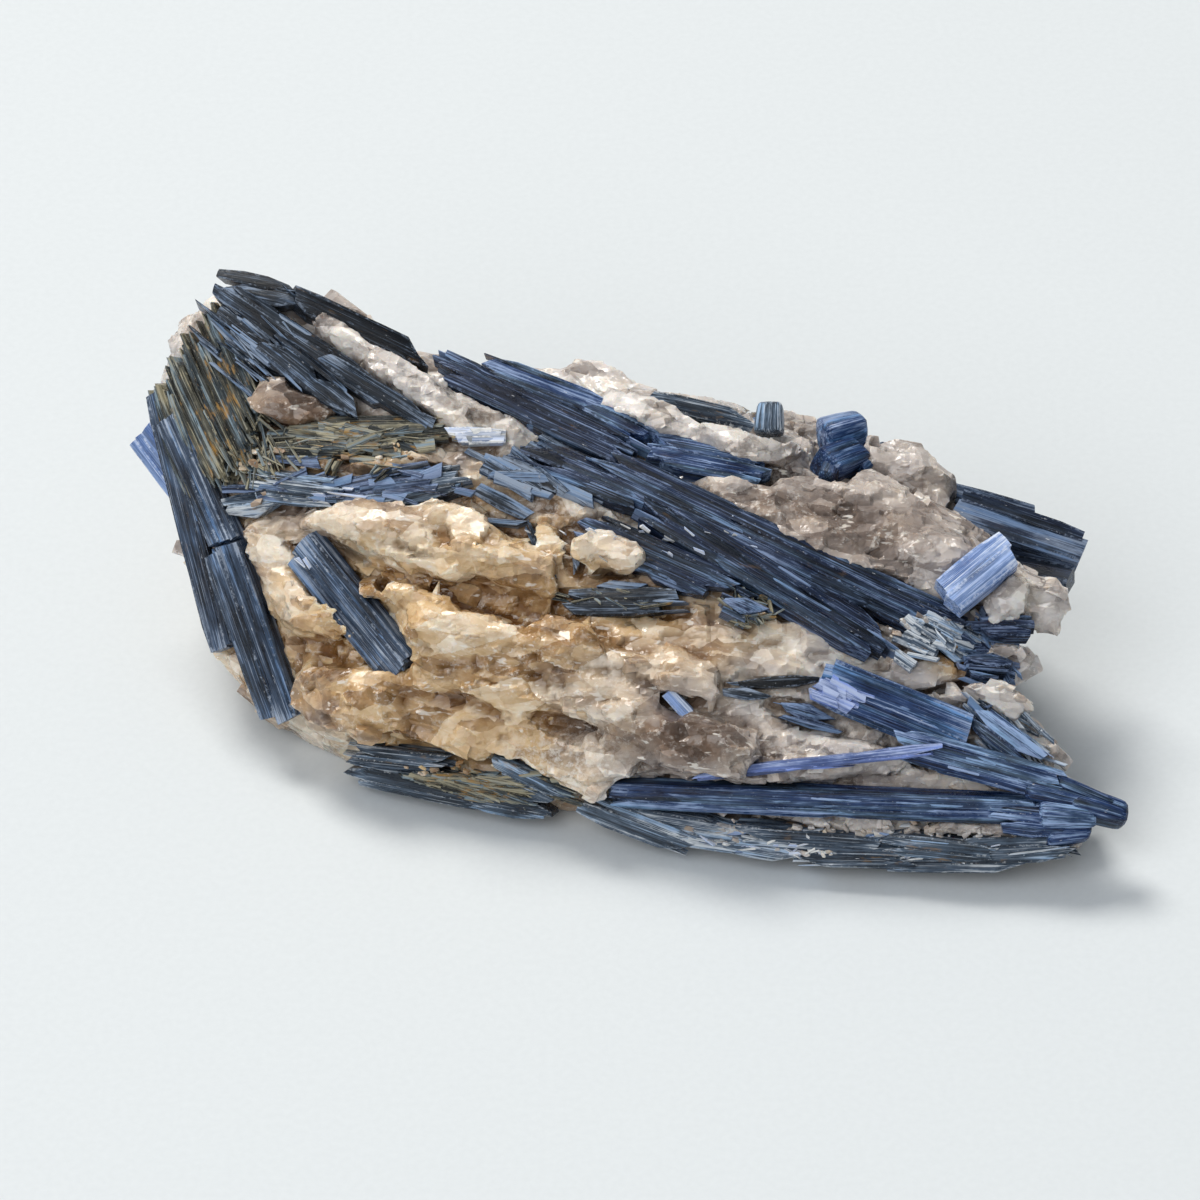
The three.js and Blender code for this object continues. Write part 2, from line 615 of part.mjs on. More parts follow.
function mesh(name, solid, colour, roughness) {
  const material = new THREE.MeshStandardMaterial({ color: colour, roughness, metalness: 0 });
  const made = new THREE.Mesh(geometryOf(solid), material);
  made.name = name;
  return made;
}

const specimen = new THREE.Group();
specimen.name = "kyanite_in_quartz";

let stone = join([lump(), ...ledges(), ...lobes(), ...backLedges()]);
stone = stone.subtract(join(cracks())).intersect(aboveTable());

let taken = null;
Object.entries({ ...SPRAYS, ...FAR_SPRAYS }).forEach(([name, facts], i) => {
  const whole = spray(facts, i + 1, blade).intersect(aboveTable());
  const free = largestPiece(taken ? whole.subtract(taken) : whole);
  const socket = spray(facts, i + 1, socketBar);
  taken = taken ? taken.add(socket) : socket;
  specimen.add(mesh(name, free, facts.colour, 0.35));
});
specimen.add(mesh("quartz_matrix", largestPiece(stone.subtract(taken)), 0xb9a68c, 0.4));

export default specimen;
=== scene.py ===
# %% [markdown]
# Kyanite in quartz
#
# A hand-sized lump of broken quartz with blades of blue kyanite grown through it. The lump comes in as a
# solid model of plain facets. This lesson gives it the surfaces of the real stone: quartz that breaks
# into glassy steps and splinters, and kyanite that splits into thin, glossy laths.

# %% Load the solid model
import json
import math
import random

import bmesh
import bpy
import numpy as np
from mathutils import Matrix, Vector
from mathutils.kdtree import KDTree

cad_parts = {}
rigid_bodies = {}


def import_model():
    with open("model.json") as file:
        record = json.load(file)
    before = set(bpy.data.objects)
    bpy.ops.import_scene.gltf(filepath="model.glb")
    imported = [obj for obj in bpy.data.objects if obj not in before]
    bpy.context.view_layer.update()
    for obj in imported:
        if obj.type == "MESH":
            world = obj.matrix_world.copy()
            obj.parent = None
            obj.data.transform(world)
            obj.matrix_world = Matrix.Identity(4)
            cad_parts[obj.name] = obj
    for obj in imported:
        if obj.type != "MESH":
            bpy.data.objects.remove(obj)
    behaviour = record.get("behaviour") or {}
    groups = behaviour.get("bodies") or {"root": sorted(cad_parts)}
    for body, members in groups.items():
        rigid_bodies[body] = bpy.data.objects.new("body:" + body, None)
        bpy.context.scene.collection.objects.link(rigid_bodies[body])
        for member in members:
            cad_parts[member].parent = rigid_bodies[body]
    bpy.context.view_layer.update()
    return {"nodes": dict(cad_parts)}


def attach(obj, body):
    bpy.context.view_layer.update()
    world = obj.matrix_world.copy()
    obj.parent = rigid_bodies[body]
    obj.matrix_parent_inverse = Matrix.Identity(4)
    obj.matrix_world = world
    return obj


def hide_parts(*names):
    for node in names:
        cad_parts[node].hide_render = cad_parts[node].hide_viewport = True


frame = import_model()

MM = 0.001

# %% [markdown]
# The specimen is seen from the front and above, and every place on it is given in that view: so many
# millimetres to the right, up, and out towards the eye. One function turns such a place into the
# model's own axes, so that what is measured on a picture goes straight where it belongs.

# %% Places as the eye sees them
EYE_ELEVATION = math.radians(42)
EYE_CENTRE_HEIGHT = 25.0
SIN_E = math.sin(EYE_ELEVATION)
COS_E = math.cos(EYE_ELEVATION)
OUT = Vector((0, -COS_E, SIN_E))


def from_view(right, up, out):
    return Vector((right, up * SIN_E - out * COS_E, up * COS_E + out * SIN_E + EYE_CENTRE_HEIGHT))


def view_of(points):
    """(right, up) of points in mm, as two arrays."""
    points = np.asarray(points)
    return points[:, 0], points[:, 1] * SIN_E + (points[:, 2] - EYE_CENTRE_HEIGHT) * COS_E


print("eye direction:", [round(x, 3) for x in OUT])

# %% [markdown]
# A long lens from far away keeps the near and far parts of the stone at the same scale, as a product
# photographer does. The camera looks down at 42 degrees, and its frame is 180 mm wide at the stone.

# %% Camera
LENS = 200.0
SENSOR = 36.0
FRAME_WIDTH = 180.0

camera_data = bpy.data.cameras.new("camera")
camera_data.lens = LENS
camera_data.sensor_width = SENSOR
camera = bpy.data.objects.new("camera", camera_data)
bpy.context.collection.objects.link(camera)
eye_distance = FRAME_WIDTH * LENS / SENSOR
camera.location = (from_view(0, 0, 0) + OUT * eye_distance) * MM
camera.rotation_euler = (-OUT).to_track_quat("-Z", "Y").to_euler()
camera_data.clip_start = 0.05
camera_data.clip_end = 20
bpy.context.scene.camera = camera
bpy.context.scene.view_settings.view_transform = "Standard"
print("camera stands", round(eye_distance), "mm away")

# %% [markdown]
# Colours are picked as they look on a screen, in hex, and turned linear by one function. A second small
# function adds a shader node with its settings and its links in one go. A third turns the size of a
# pattern on the stone, in mm, into the scale that a texture node wants.

# %% Colour and node helpers


def linear(hex_colour, alpha=1.0):
    channels = [int(hex_colour[i : i + 2], 16) / 255 for i in (1, 3, 5)]
    return (*[c / 12.92 if c <= 0.04045 else ((c + 0.055) / 1.055) ** 2.4 for c in channels], alpha)


def add_node(tree, kind, settings=None, **links):
    """A new node. A link's name is an input's name or number (in0, in1), and its value is a socket or a value."""
    node = tree.nodes.new(kind)
    for key, value in (settings or {}).items():
        setattr(node, key, value)
    for key, value in links.items():
        numbered = key[:2] == "in" and key[2:].isdigit()
        socket = node.inputs[int(key[2:]) if numbered else key.replace("_", " ")]
        if isinstance(value, bpy.types.NodeSocket):
            tree.links.new(value, socket)
        else:
            socket.default_value = value
    return node


def per(size):
    """The scale of a pattern whose parts are this many mm wide."""
    return 1 / (size * MM)


def set_ramp(node, stops):
    """Fills a colour ramp with (place, colour) stops."""
    elements = node.color_ramp.elements
    while len(elements) > 2:
        elements.remove(elements[-1])
    for i, (place, colour) in enumerate(stops):
        element = elements[i] if i < 2 else elements.new(place)
        element.position = place
        element.color = colour
    return node


def new_material(name):
    material = bpy.data.materials.new(name)
    material.use_nodes = True
    tree = material.node_tree
    tree.nodes.clear()
    surface = tree.nodes.new("ShaderNodeBsdfPrincipled")
    output = tree.nodes.new("ShaderNodeOutputMaterial")
    tree.links.new(surface.outputs[0], output.inputs["Surface"])
    return material, tree, surface


print("helpers ready")

# %% [markdown]
# The stone lies on a plain pale floor. The floor is matt, so that it takes only a soft shadow.

# %% Floor
# uncoated paper: it scatters light evenly and shows no mirror image of the stone
PAPER_FIBRE = 1.11
FLOOR_REACH = 3.0

floor_material, tree, surface = new_material("matt_paper")
surface.inputs["Roughness"].default_value = 0.9
surface.inputs["Specular IOR Level"].default_value = 0.1
coords = add_node(tree, "ShaderNodeTexCoord")
fibres = add_node(tree, "ShaderNodeTexNoise", in0=coords.outputs["Object"], Scale=per(PAPER_FIBRE), Detail=3.0)
paper = add_node(tree, "ShaderNodeValToRGB", in0=fibres.outputs[0])
set_ramp(paper, [(0.3, linear("#D6DBDE")), (0.7, linear("#D9DEE1"))])
tree.links.new(paper.outputs[0], surface.inputs["Base Color"])

bm = bmesh.new()
bmesh.ops.create_grid(bm, x_segments=1, y_segments=1, size=FLOOR_REACH)
floor_mesh = bpy.data.meshes.new("floor")
bm.to_mesh(floor_mesh)
bm.free()
floor = bpy.data.objects.new("floor", floor_mesh)
floor_mesh.materials.append(floor_material)
bpy.context.collection.objects.link(floor)
print("floor laid")

# %% [markdown]
# The light is soft and comes from above, from the left and a little from behind, so the shadow falls to
# the right and towards the eye. A wide, weaker pane in front and to the left fills the shadows on the
# near face. The sky is bright overhead and dim near the ground: dark, glossy blades keep their depth,
# because what they mirror is mostly the dim part.

# %% Light
world = bpy.data.worlds.new("pale_sky")
world.use_nodes = True
tree = world.node_tree
heading = add_node(tree, "ShaderNodeTexCoord").outputs["Generated"]
height_in_sky = add_node(tree, "ShaderNodeSeparateXYZ", in0=heading).outputs["Z"]
glow = add_node(tree, "ShaderNodeMapRange", in0=height_in_sky, in1=0.0, in2=1.0, in3=0.11, in4=0.48).outputs[0]
sky = tree.nodes["Background"]
sky.inputs["Color"].default_value = linear("#EAF0F6")
tree.links.new(glow, sky.inputs["Strength"])
bpy.context.scene.world = world


def pane(name, place, size, power, colour="#FFFFFF"):
    """A soft light over the stone at a place in metres, facing its middle."""
    data = bpy.data.lights.new(name, "AREA")
    data.shape = "RECTANGLE"
    data.size, data.size_y = size
    data.energy = power
    data.color = linear(colour)[:3]
    lamp = bpy.data.objects.new(name, data)
    lamp.location = place
    lamp.rotation_euler = (Vector((0, 0, 0.025)) - Vector(place)).to_track_quat("-Z", "Y").to_euler()
    bpy.context.collection.objects.link(lamp)


pane("key_light", (-0.8, 1.15, 2.2), (1.0, 1.0), 52, "#FFFBF4")
pane("fill_light", (-0.9, -1.3, 1.6), (1.6, 1.6), 22.5, "#FFFFFF")
print("lights hung")

# %% [markdown]
# Kyanite blades follow the stone's face. The same cross-sections that the lump was built from say where
# that face is: crest and edge are [up in the view, height over the table], and bulge is how far the
# face stands out between them.

# %% Where the stone's face is
SECTIONS = [
    # right, crest up, crest height, edge up, edge height, bulge
    (-67, 34, 42, 27, 37, 0.5),
    (-62, 43, 49.5, 3, 20, 3),
    (-57, 47.5, 55, -8, 13, 4.5),
    (-52, 46.5, 55, -15, 9, 6),
    (-45, 45, 54, -19, 6.5, 7),
    (-34.5, 40, 50, -24.5, 5.5, 8),
    (-25, 35.5, 47, -27, 5.5, 9),
    (-12, 32.5, 45, -29.5, 5, 9.5),
    (0, 30.5, 44, -31, 5, 10),
    (15, 29, 42, -34, 5, 10.5),
    (28.5, 25, 39, -35.5, 5, 10),
    (42, 22.5, 36.5, -36, 5, 9),
    (52, 16.5, 32, -36.5, 5.5, 8),
    (59, 12.5, 27.5, -35.5, 7, 5),
]
SECTION_TABLE = np.array(SECTIONS, float)


def out_at(up, height):
    return (height - EYE_CENTRE_HEIGHT - up * COS_E) / SIN_E


def on_stone(right, up, lift=0.0):
    """The point that is lift out of the stone's face where it is seen at (right, up)."""
    crest_up, crest_z, edge_up, edge_z, bulge = (
        float(np.interp(right, SECTION_TABLE[:, 0], SECTION_TABLE[:, i])) for i in range(1, 6)
    )
    t = min(max((crest_up - up) / (crest_up - edge_up), 0), 1)
    far, near = out_at(crest_up, crest_z), out_at(edge_up, edge_z)
    return from_view(right, up, far + (near - far) * t + bulge * math.sin(math.pi * t) ** 0.8 + lift)


def stone_normal(right, up):
    step = 4
    along = on_stone(right + step, up) - on_stone(right - step, up)
    over = on_stone(right, up + step) - on_stone(right, up - step)
    return along.cross(over).normalized()


print("face at the middle, mm:", [round(x, 1) for x in on_stone(0, 0)])

# %% [markdown]
# Every blade is given by its two ends in the view, as [right, up, lift], then its width and thickness
# and the roll of its broad face. They are the same blades that the solids have.

# %% The blades
SPRAYS = {
    "crest_spray": ("dusky", [
        ((-59.5, 48.3, -0.5), (-43, 45, 0.5), 4.2, 4, 0),
        ((-47.5, 46, 0.2), (-25.5, 35.6, 0.6), 3.2, 4, 0),
        ((-58, 47.4, 1.4), (-31, 29.4, 1.0), 3.7, 3.6, 8),
        ((-42, 36.4, 1.2), (-24.4, 25.6, 0.8), 2.3, 3.2, 8),
        ((-59.5, 46.5, 1.6), (-42, 32.6, 1.2), 7, 3.4, -6),
        ((-52, 40.2, 1.7), (-35.2, 27, 0.9), 4, 3.2, -6),
    ]),
    "fan_spray": ("olive", [
        ((-67, 33.5, 0.6), (-59.5, 14.5, 0.8), 4.8, 3.4, 0),
        ((-65, 37.6, 0.8), (-55, 17, 1.2), 5, 3.4, 0),
        ((-62.6, 41.4, 0.8), (-51.8, 19.4, 1.4), 5, 3.4, 0),
        ((-60.2, 45.5, 0.8), (-50.2, 25, 1.2), 4.4, 3.2, 0),
    ]),
    "left_edge_blades": ("slate", [
        ((-66.8, 31.5, -0.6), (-56.6, -8, -0.2), 3.6, 4.6, -25),
        ((-64.8, 28, 0.5), (-55.8, 8, 0.9), 4.8, 3.4, -10),
    ]),
    "wide_left_blade": ("slate", [((-57, 8.6, 1.4), (-47.6, -18.4, 1.6), 6, 3.6, -6)]),
    "pale_stub": ("pale", [((-62, 15.5, -5), (-69.8, 25.6, -4.2), 5, 3, 0)]),
    "olive_bar": ("olive", [
        ((-51, 25.2, 0.2), (-22, 25.4, 0.6), 4.0, 3.2, 0),
        ((-49, 22.6, 0.2), (-36, 22.4, 0.4), 3.4, 3, 0),
        ((-48.5, 27.0, 1.4), (-44.8, 31.0, 1.6), 2.6, 2.6, 0),
        ((-41.2, 18.2, 1.6), (-38.6, 22.4, 2.0), 2.0, 2.0, 0),
        ((-34.6, 17.4, 1.8), (-31.2, 20.6, 2.0), 2.8, 2.2, 0),
    ]),
    "steel_bar": ("steel", [
        ((-53.5, 17.6, 0.4), (-37, 15.6, 0.8), 4.6, 3.4, 10),
        ((-41, 14, 0.7), (-18, 18.4, 0.6), 4.8, 3.2, -6),
        ((-57.5, 13.6, 0.3), (-45, 15, 0.4), 3.6, 3, 0),
    ]),
    "inset_blade": ("slate", [((-45, 8.6, 1.1), (-29.2, -10.8, 0.9), 6.4, 3.4, 12)]),
    "long_spray": ("navy", [
        ((-26, 36, 0.8), (7, 20.4, 1.4), 5.2, 3.4, 6),
        ((-12.5, 22.8, 0.6), (10, 13.4, 1.2), 5.4, 3.4, 0),
        ((-2, 21.2, 1.4), (57.4, -7.4, 2.2), 5.6, 4.2, 8),
        ((5, 15, 1.5), (44, -8.4, 1.6), 6, 3.8, -8),
        ((30, 6.4, 1.8), (55, -4.6, 2.2), 4.4, 3.6, 12),
    ]),
    "back_blades": ("blue", [
        ((-19.5, 35.4, 0.4), (2.4, 27, 0.6), 5, 4, 14),
        ((-4, 29.2, 0.6), (9, 23, 0.8), 4.8, 4, 10),
        ((6.5, 22.4, 0.8), (26.4, 18.6, 0.8), 5.6, 3.8, 6),
    ]),
    "ragged_blade": ("navy", [
        ((-5, 11.8, 0.7), (21.5, 0, 1), 5.6, 3.6, 8),
        ((17, 1.4, 1.2), (25.4, -2.4, 1.2), 6.4, 4, 0),
    ]),
    "dark_bar": ("dusky", [
        ((-7, -0.6, 0.3), (13.4, -0.4, 0.3), 4, 3.4, 0),
        ((0.5, 2.2, 0.3), (8, 1.6, 0.2), 3, 3, 0),
    ]),
    "hook_needle": ("dusky", [
        ((-11.6, 12.2, 0.7), (-5.6, 1.8, 0.5), 1.6, 2.4, 0),
        ((-18, 12.1, 0.4), (-11, 11.5, 0.7), 1.9, 2, 0),
    ]),
    "seed_crystal": ("dusky", [((-5.2, 8.2, 0.8), (-2.6, 4.2, 0.6), 2.4, 2.2, 0)]),
    "rim_blade": ("steel", [
        ((6.5, 30.2, 0), (24.6, 26, 0.4), 2.6, 3.4, 0),
        ((25.4, 24.9, 0.2), (25.8, 29.7, 0.4), 4.7, 4.6, "block"),
    ]),
    "knob_crystal": ("glossy", [
        ((33.4, 19.8, 1.8), (39.0, 22.0, 1.4), 5.0, 6, "dark block"),
        ((33.4, 24.2, 0.8), (39.8, 26.2, 0.6), 5.0, 6, "pale block"),
        ((38.8, 20.0, 0.8), (43.4, 22.8, 0.4), 3.0, 3.4, "block"),
        ((34.4, 17.6, 1.8), (35.6, 22.6, 1.8), 3.0, 4, "dark block"),
    ]),
    "pale_prism": ("pale", [((51.2, 0, 6.4), (61, 7.8, 13.9), 5.6, 3.8, -10)]),
    "right_prisms": ("inky", [
        ((53, 14.2, 0.9), (73, 7.3, 2.0), 5.2, 4.4, 10),
        ((53.5, 16.2, -0.6), (66, 12.6, 0.4), 2.6, 3, 0),
        ((58.5, 6, -2.2), (71.8, 3.5, -0.4), 4.8, 4, 0),
    ]),
    "notch_blades": ("navy", [
        ((54.5, -4.2, 3), (66.5, -4.2, 5), 3.4, 3, 0),
        ((53, -10, 2), (62.5, -10.6, 4.6), 4, 3.4, 0),
    ]),
    "violet_blade": ("glossy", [
        ((32.2, -11.6, 1.1), (54.6, -20.6, 2), 6.8, 3.6, 10),
        ((32.6, -11.2, 2.0), (42, -13.2, 2.3), 3.2, 2.2, 14),
    ]),
    "small_dark_blade": ("navy", [((25, -15.6, 0.4), (36.6, -18.8, 0.4), 3.2, 2.8, 0)]),
    "black_needles": ("dusky", [
        ((17.2, -13.2, 0.4), (26, -14.6, 0.3), 1.6, 2.2, 0),
        ((18.8, -12.6, 0.4), (33, -11.8, 0.4), 1.4, 2.2, 0),
    ]),
    "grey_needle": ("pale", [((9.8, -13.4, 2.2), (15.4, -19.4, 2.6), 1.7, 1.6, 0)]),
    "lower_spray": ("blue", [
        ((0, -28.6, 0.6), (66, -31, 2.6), 3.8, 3.6, 10),
        ((42.5, -20.6, 1.2), (69.5, -28, 3.4), 5, 4, 12),
        ((57, -32, 2.4), (71.5, -33.6, 3), 4.4, 4, 0),
        ((69, -29.6, 2.8), (77.7, -31.9, 2.2), 4.2, 4.6, "dark block"),
        ((62.6, -28.4, 3), (73.4, -30.0, 3.2), 3.4, 4.8, "block"),
        ((64.6, -31.4, 3), (73.0, -32.4, 3.2), 4.4, 4.8, "pale block"),
        ((67.4, -26.6, 3), (76.0, -30.2, 2.6), 2.0, 4.6, "block"),
        ((66.0, -34.8, 2.6), (72.4, -34.6, 2.6), 3.4, 4.4, "block"),
        ((54, -16, 1.5), (66, -25, 3), 4.6, 4, 20),
    ]),
    "violet_needle": ("violet", [((13, -26.2, 2.6), (50.8, -21.8, 4.6), 1.5, 1.6, 0)]),
    "bottom_bundle": ("steel", [
        ((-4, -29.6, 0), (15.5, -37, 0.6), 3.6, 3.8, 0),
        ((2, -31.8, 0), (22, -35.2, 0.9), 3.8, 4, 6),
        ((8, -34.0, 0.7), (30, -37.6, 0.9), 3.2, 4, -8),
        ((19, -34.6, 1.3), (45, -36.4, 1.5), 3.2, 4, 10),
        ((28, -37.6, 0.5), (50, -38.0, 1.0), 3.4, 4, -6),
        ((40, -35.4, 1.8), (61, -37.6, 1.8), 3.0, 4, 8),
        ((50, -37.4, 1.2), (71, -36.4, 2.2), 3.6, 4, 0),
        ((40, -38.6, 0), (64, -38.6, 0.8), 3.0, 3.6, 0),
    ]),
    "bottom_left_blades": ("steel", [
        ((-38.5, -23, 0.2), (-21, -24.8, 0.6), 3.6, 3.2, 0),
        ((-39, -24.8, -0.6), (-4.5, -31.6, 0), 4.4, 4, 0),
        ((-16.4, -24, 1), (-3.4, -30.4, 0.8), 3.4, 3, 0),
    ]),
}
FAR_SPRAYS = {
    # ends are x, y, z, and the last three numbers are the way the broad face looks
    "far_long_blades": ("navy", [
        ((-44, 46.6, 33), (-4, 41.4, 15), 6, 4, (0, 1, 0.25)),
        ((-34, 45.6, 33), (2, 40.8, 20), 4.4, 3.6, (0, 1, 0.25)),
    ]),
    "far_cross_blade": ("blue", [((4, 40.6, 10), (28, 36.9, 28), 5.4, 3.8, (0, 1, 0.1))]),
    "far_low_blade": ("navy", [((24, 36, 9), (48, 29.6, 12.5), 4.6, 3.6, (0.1, 1, 0))]),
    "far_left_blade": ("olive", [((-58, 44.2, 36), (-47, 46.2, 13), 5.4, 3.8, (-0.2, 1, 0))]),
}
print(sum(len(rows) for _, rows in SPRAYS.values()), "blades in front and on top")

# %% [markdown]
# Real blades are bent with the rock they grew in. A short one is laid as a straight line between its two
# ends, and a long one as a line of several points, all on the stone's face, so that it follows the bulge.
# The places the blades hold are kept in a search tree, so that no quartz is laid over them.

# %% The blades' routes
ROUTE_STEP = 34.0


def route_of(start, end):
    """The points a blade runs through: straight, or bent with the stone if it is long."""
    runs = max(1, math.ceil(math.hypot(end[0] - start[0], end[1] - start[1]) / ROUTE_STEP))
    return [on_stone(*(a + (b - a) * i / runs for a, b in zip(start, end))) for i in range(runs + 1)]


def along_route(route, shares):
    """The points at shares of the route from 0 to 1, and past its ends in a straight line."""
    knots = np.array([p[:] for p in route])
    place = np.asarray(shares, float) * (len(route) - 1)
    i = np.clip(place.astype(int), 0, len(route) - 2)
    return knots[i] + (knots[i + 1] - knots[i]) * (place - i)[:, None]


def tree_of(places):
    """A search tree over the places, which names each by its number in the list."""
    made = KDTree(len(places))
    for i, place in enumerate(places):
        made.insert(place, i)
    made.balance()
    return made


crystal_places = []
for _, rows in {**SPRAYS, **FAR_SPRAYS}.values():
    for start, end, width, _, turn in rows:
        route = [Vector(start), Vector(end)] if isinstance(turn, tuple) else route_of(start, end)
        crystal_places += [(place, width / 2) for place in along_route(route, np.linspace(0, 1, 41))]
crystal_tree = tree_of([place for place, _ in crystal_places])
print("the blades hold", len(crystal_places), "places")

# %% [markdown]
# Many small shapes are joined in one mesh: a heap keeps the points and faces of each copy, with values
# for the materials at every point, and makes one object of them at the end. Each shape itself is made
# only once, with the mesh operators. Separate objects would look the same, but hundreds of them are slow
# to handle.

# %% A heap of copies
def plain_shape(bm):
    """A finished bmesh as its points and faces. It frees the bmesh."""
    bm.verts.index_update()
    shape = {
        "points": np.array([v.co[:] for v in bm.verts]),
        "faces": [tuple(v.index for v in f.verts) for f in bm.faces],
    }
    bm.free()
    return shape


def add_value(mesh, name, values):
    attribute = mesh.attributes.new(name, "FLOAT", "POINT")
    attribute.data.foreach_set("value", np.asarray(values, dtype=np.float32))


class Heap:
    def __init__(self):
        self.points, self.faces, self.values, self.count = [], [], {}, 0

    def add(self, points, faces, **values):
        self.faces += [tuple(i + self.count for i in face) for face in faces]
        self.points.append(points)
        self.count += len(points)
        for key, value in values.items():
            value = np.asarray(value, dtype=np.float32)
            if value.ndim == 0:
                value = np.full(len(points), value, dtype=np.float32)
            self.values.setdefault(key, []).append(value)

    def mesh(self, name):
        mesh = bpy.data.meshes.new(name)
        mesh.from_pydata(np.concatenate(self.points) * MM, [], self.faces)
        return mesh

    def make(self, name, material, smooth_angle):
        mesh = self.mesh(name)
        for key, parts in self.values.items():
            value = np.concatenate(parts)
            if value.ndim == 2:
                attribute = mesh.attributes.new(key, "FLOAT_VECTOR", "POINT")
                attribute.data.foreach_set("vector", value.ravel())
            else:
                add_value(mesh, key, value)
        mesh.shade_smooth()
        mesh.set_sharp_from_angle(angle=math.radians(smooth_angle))
        mesh.materials.append(material)
        made = bpy.data.objects.new(name, mesh)
        bpy.context.collection.objects.link(made)
        return made


print("heap ready")

# %% [markdown]
# Quartz has no cleavage. It breaks into curved, glassy steps, and in this lump the steps run in one
# direction, down to the right, because the rock was squeezed that way. A remesh turns the solid's big
# flat facets into an even skin of small faces, which can then be broken up. It could be sculpted by
# hand, or displaced with a noise, but noise gives soft lumps and broken quartz has flat faces that meet
# in sharp edges. The size of the small faces is the finest that keeps the whole skin under 200,000
# triangles.

# %% Quartz: an even skin
VOXEL = 0.7 * MM


def merged_copy(node_name):
    """A copy of a solid's mesh with its loose triangles joined, as a new object."""
    bm = bmesh.new()
    bm.from_mesh(frame["nodes"][node_name].data)
    bmesh.ops.remove_doubles(bm, verts=bm.verts, dist=0.001 * MM)
    mesh = bpy.data.meshes.new(node_name + "_copy")
    bm.to_mesh(mesh)
    bm.free()
    return bpy.data.objects.new(node_name + "_copy", mesh)


def even_skin(solid, name):
    """The skin of a solid, or of solids that overlap, as one mesh of small even faces."""
    bpy.context.collection.objects.link(solid)
    remesh = solid.modifiers.new("even_skin", "REMESH")
    remesh.mode = "VOXEL"
    remesh.voxel_size = VOXEL
    depsgraph = bpy.context.evaluated_depsgraph_get()
    mesh = bpy.data.meshes.new_from_object(solid.evaluated_get(depsgraph))
    bpy.data.objects.remove(solid)
    mesh.name = name
    return mesh


def read_points(mesh):
    points = np.empty(len(mesh.vertices) * 3)
    mesh.vertices.foreach_get("co", points)
    normals = np.empty(len(mesh.vertices) * 3)
    mesh.vertices.foreach_get("normal", normals)
    return points.reshape(-1, 3) / MM, normals.reshape(-1, 3)


plain_skin = even_skin(merged_copy("quartz_matrix"), "plain_skin")
points, normals = read_points(plain_skin)
print("quartz skin:", len(points), "points")

# %% [markdown]
# The slabs and crystals are given by their place in the view, so the script has to know which point of the
# skin the eye meets there. Only points that face the eye count, and the nearest of them to the eye wins.
# The grain is the direction of the steps, as a line in space, with one line across it.

# %% Quartz: what the eye meets
GRAIN_ANGLE = math.radians(-16)
FACING = 0.2
BEAM = 1.3

grain = Vector((math.cos(GRAIN_ANGLE), math.sin(GRAIN_ANGLE) * SIN_E, math.sin(GRAIN_ANGLE) * COS_E))
across_grain = OUT.cross(grain)
GRAIN_AXES = np.array([grain, across_grain, OUT])
skin_tree = tree_of(points)
facing_eye = np.flatnonzero(normals @ np.array(OUT) > FACING)
how_far_out = points @ np.array(OUT) - EYE_CENTRE_HEIGHT * SIN_E
seen_tree = KDTree(len(facing_eye))
for i, right, up in zip(facing_eye, *view_of(points[facing_eye])):
    seen_tree.insert((right, up, 0), int(i))
seen_tree.balance()


def seen_point(right, up):
    """The point of the skin that the eye meets at (right, up)."""
    near = [i for _, i, _ in seen_tree.find_range((right, up, 0), BEAM)] or [seen_tree.find((right, up, 0))[1]]
    return from_view(right, up, max(how_far_out[i] for i in near))


print("the eye meets", len(facing_eye), "of them")

# %% [markdown]
# Broken quartz is a heap of angular lumps that overlap like roof tiles. Each lump here starts as a block,
# and flat cuts take its corners off, as a blow takes flakes off the real stone. A large one is bevelled
# first, and what the cuts leave of that stays a little round, like a conchoidal break. A narrow border is
# inset in its large faces, so that one whose corners aren't quite in a plane bends near its rim. The small
# ones are laid hundreds of times, so they have only a few dozen faces. Random numbers come from seeded
# generators, here and below, so that the stone breaks the same way each time.

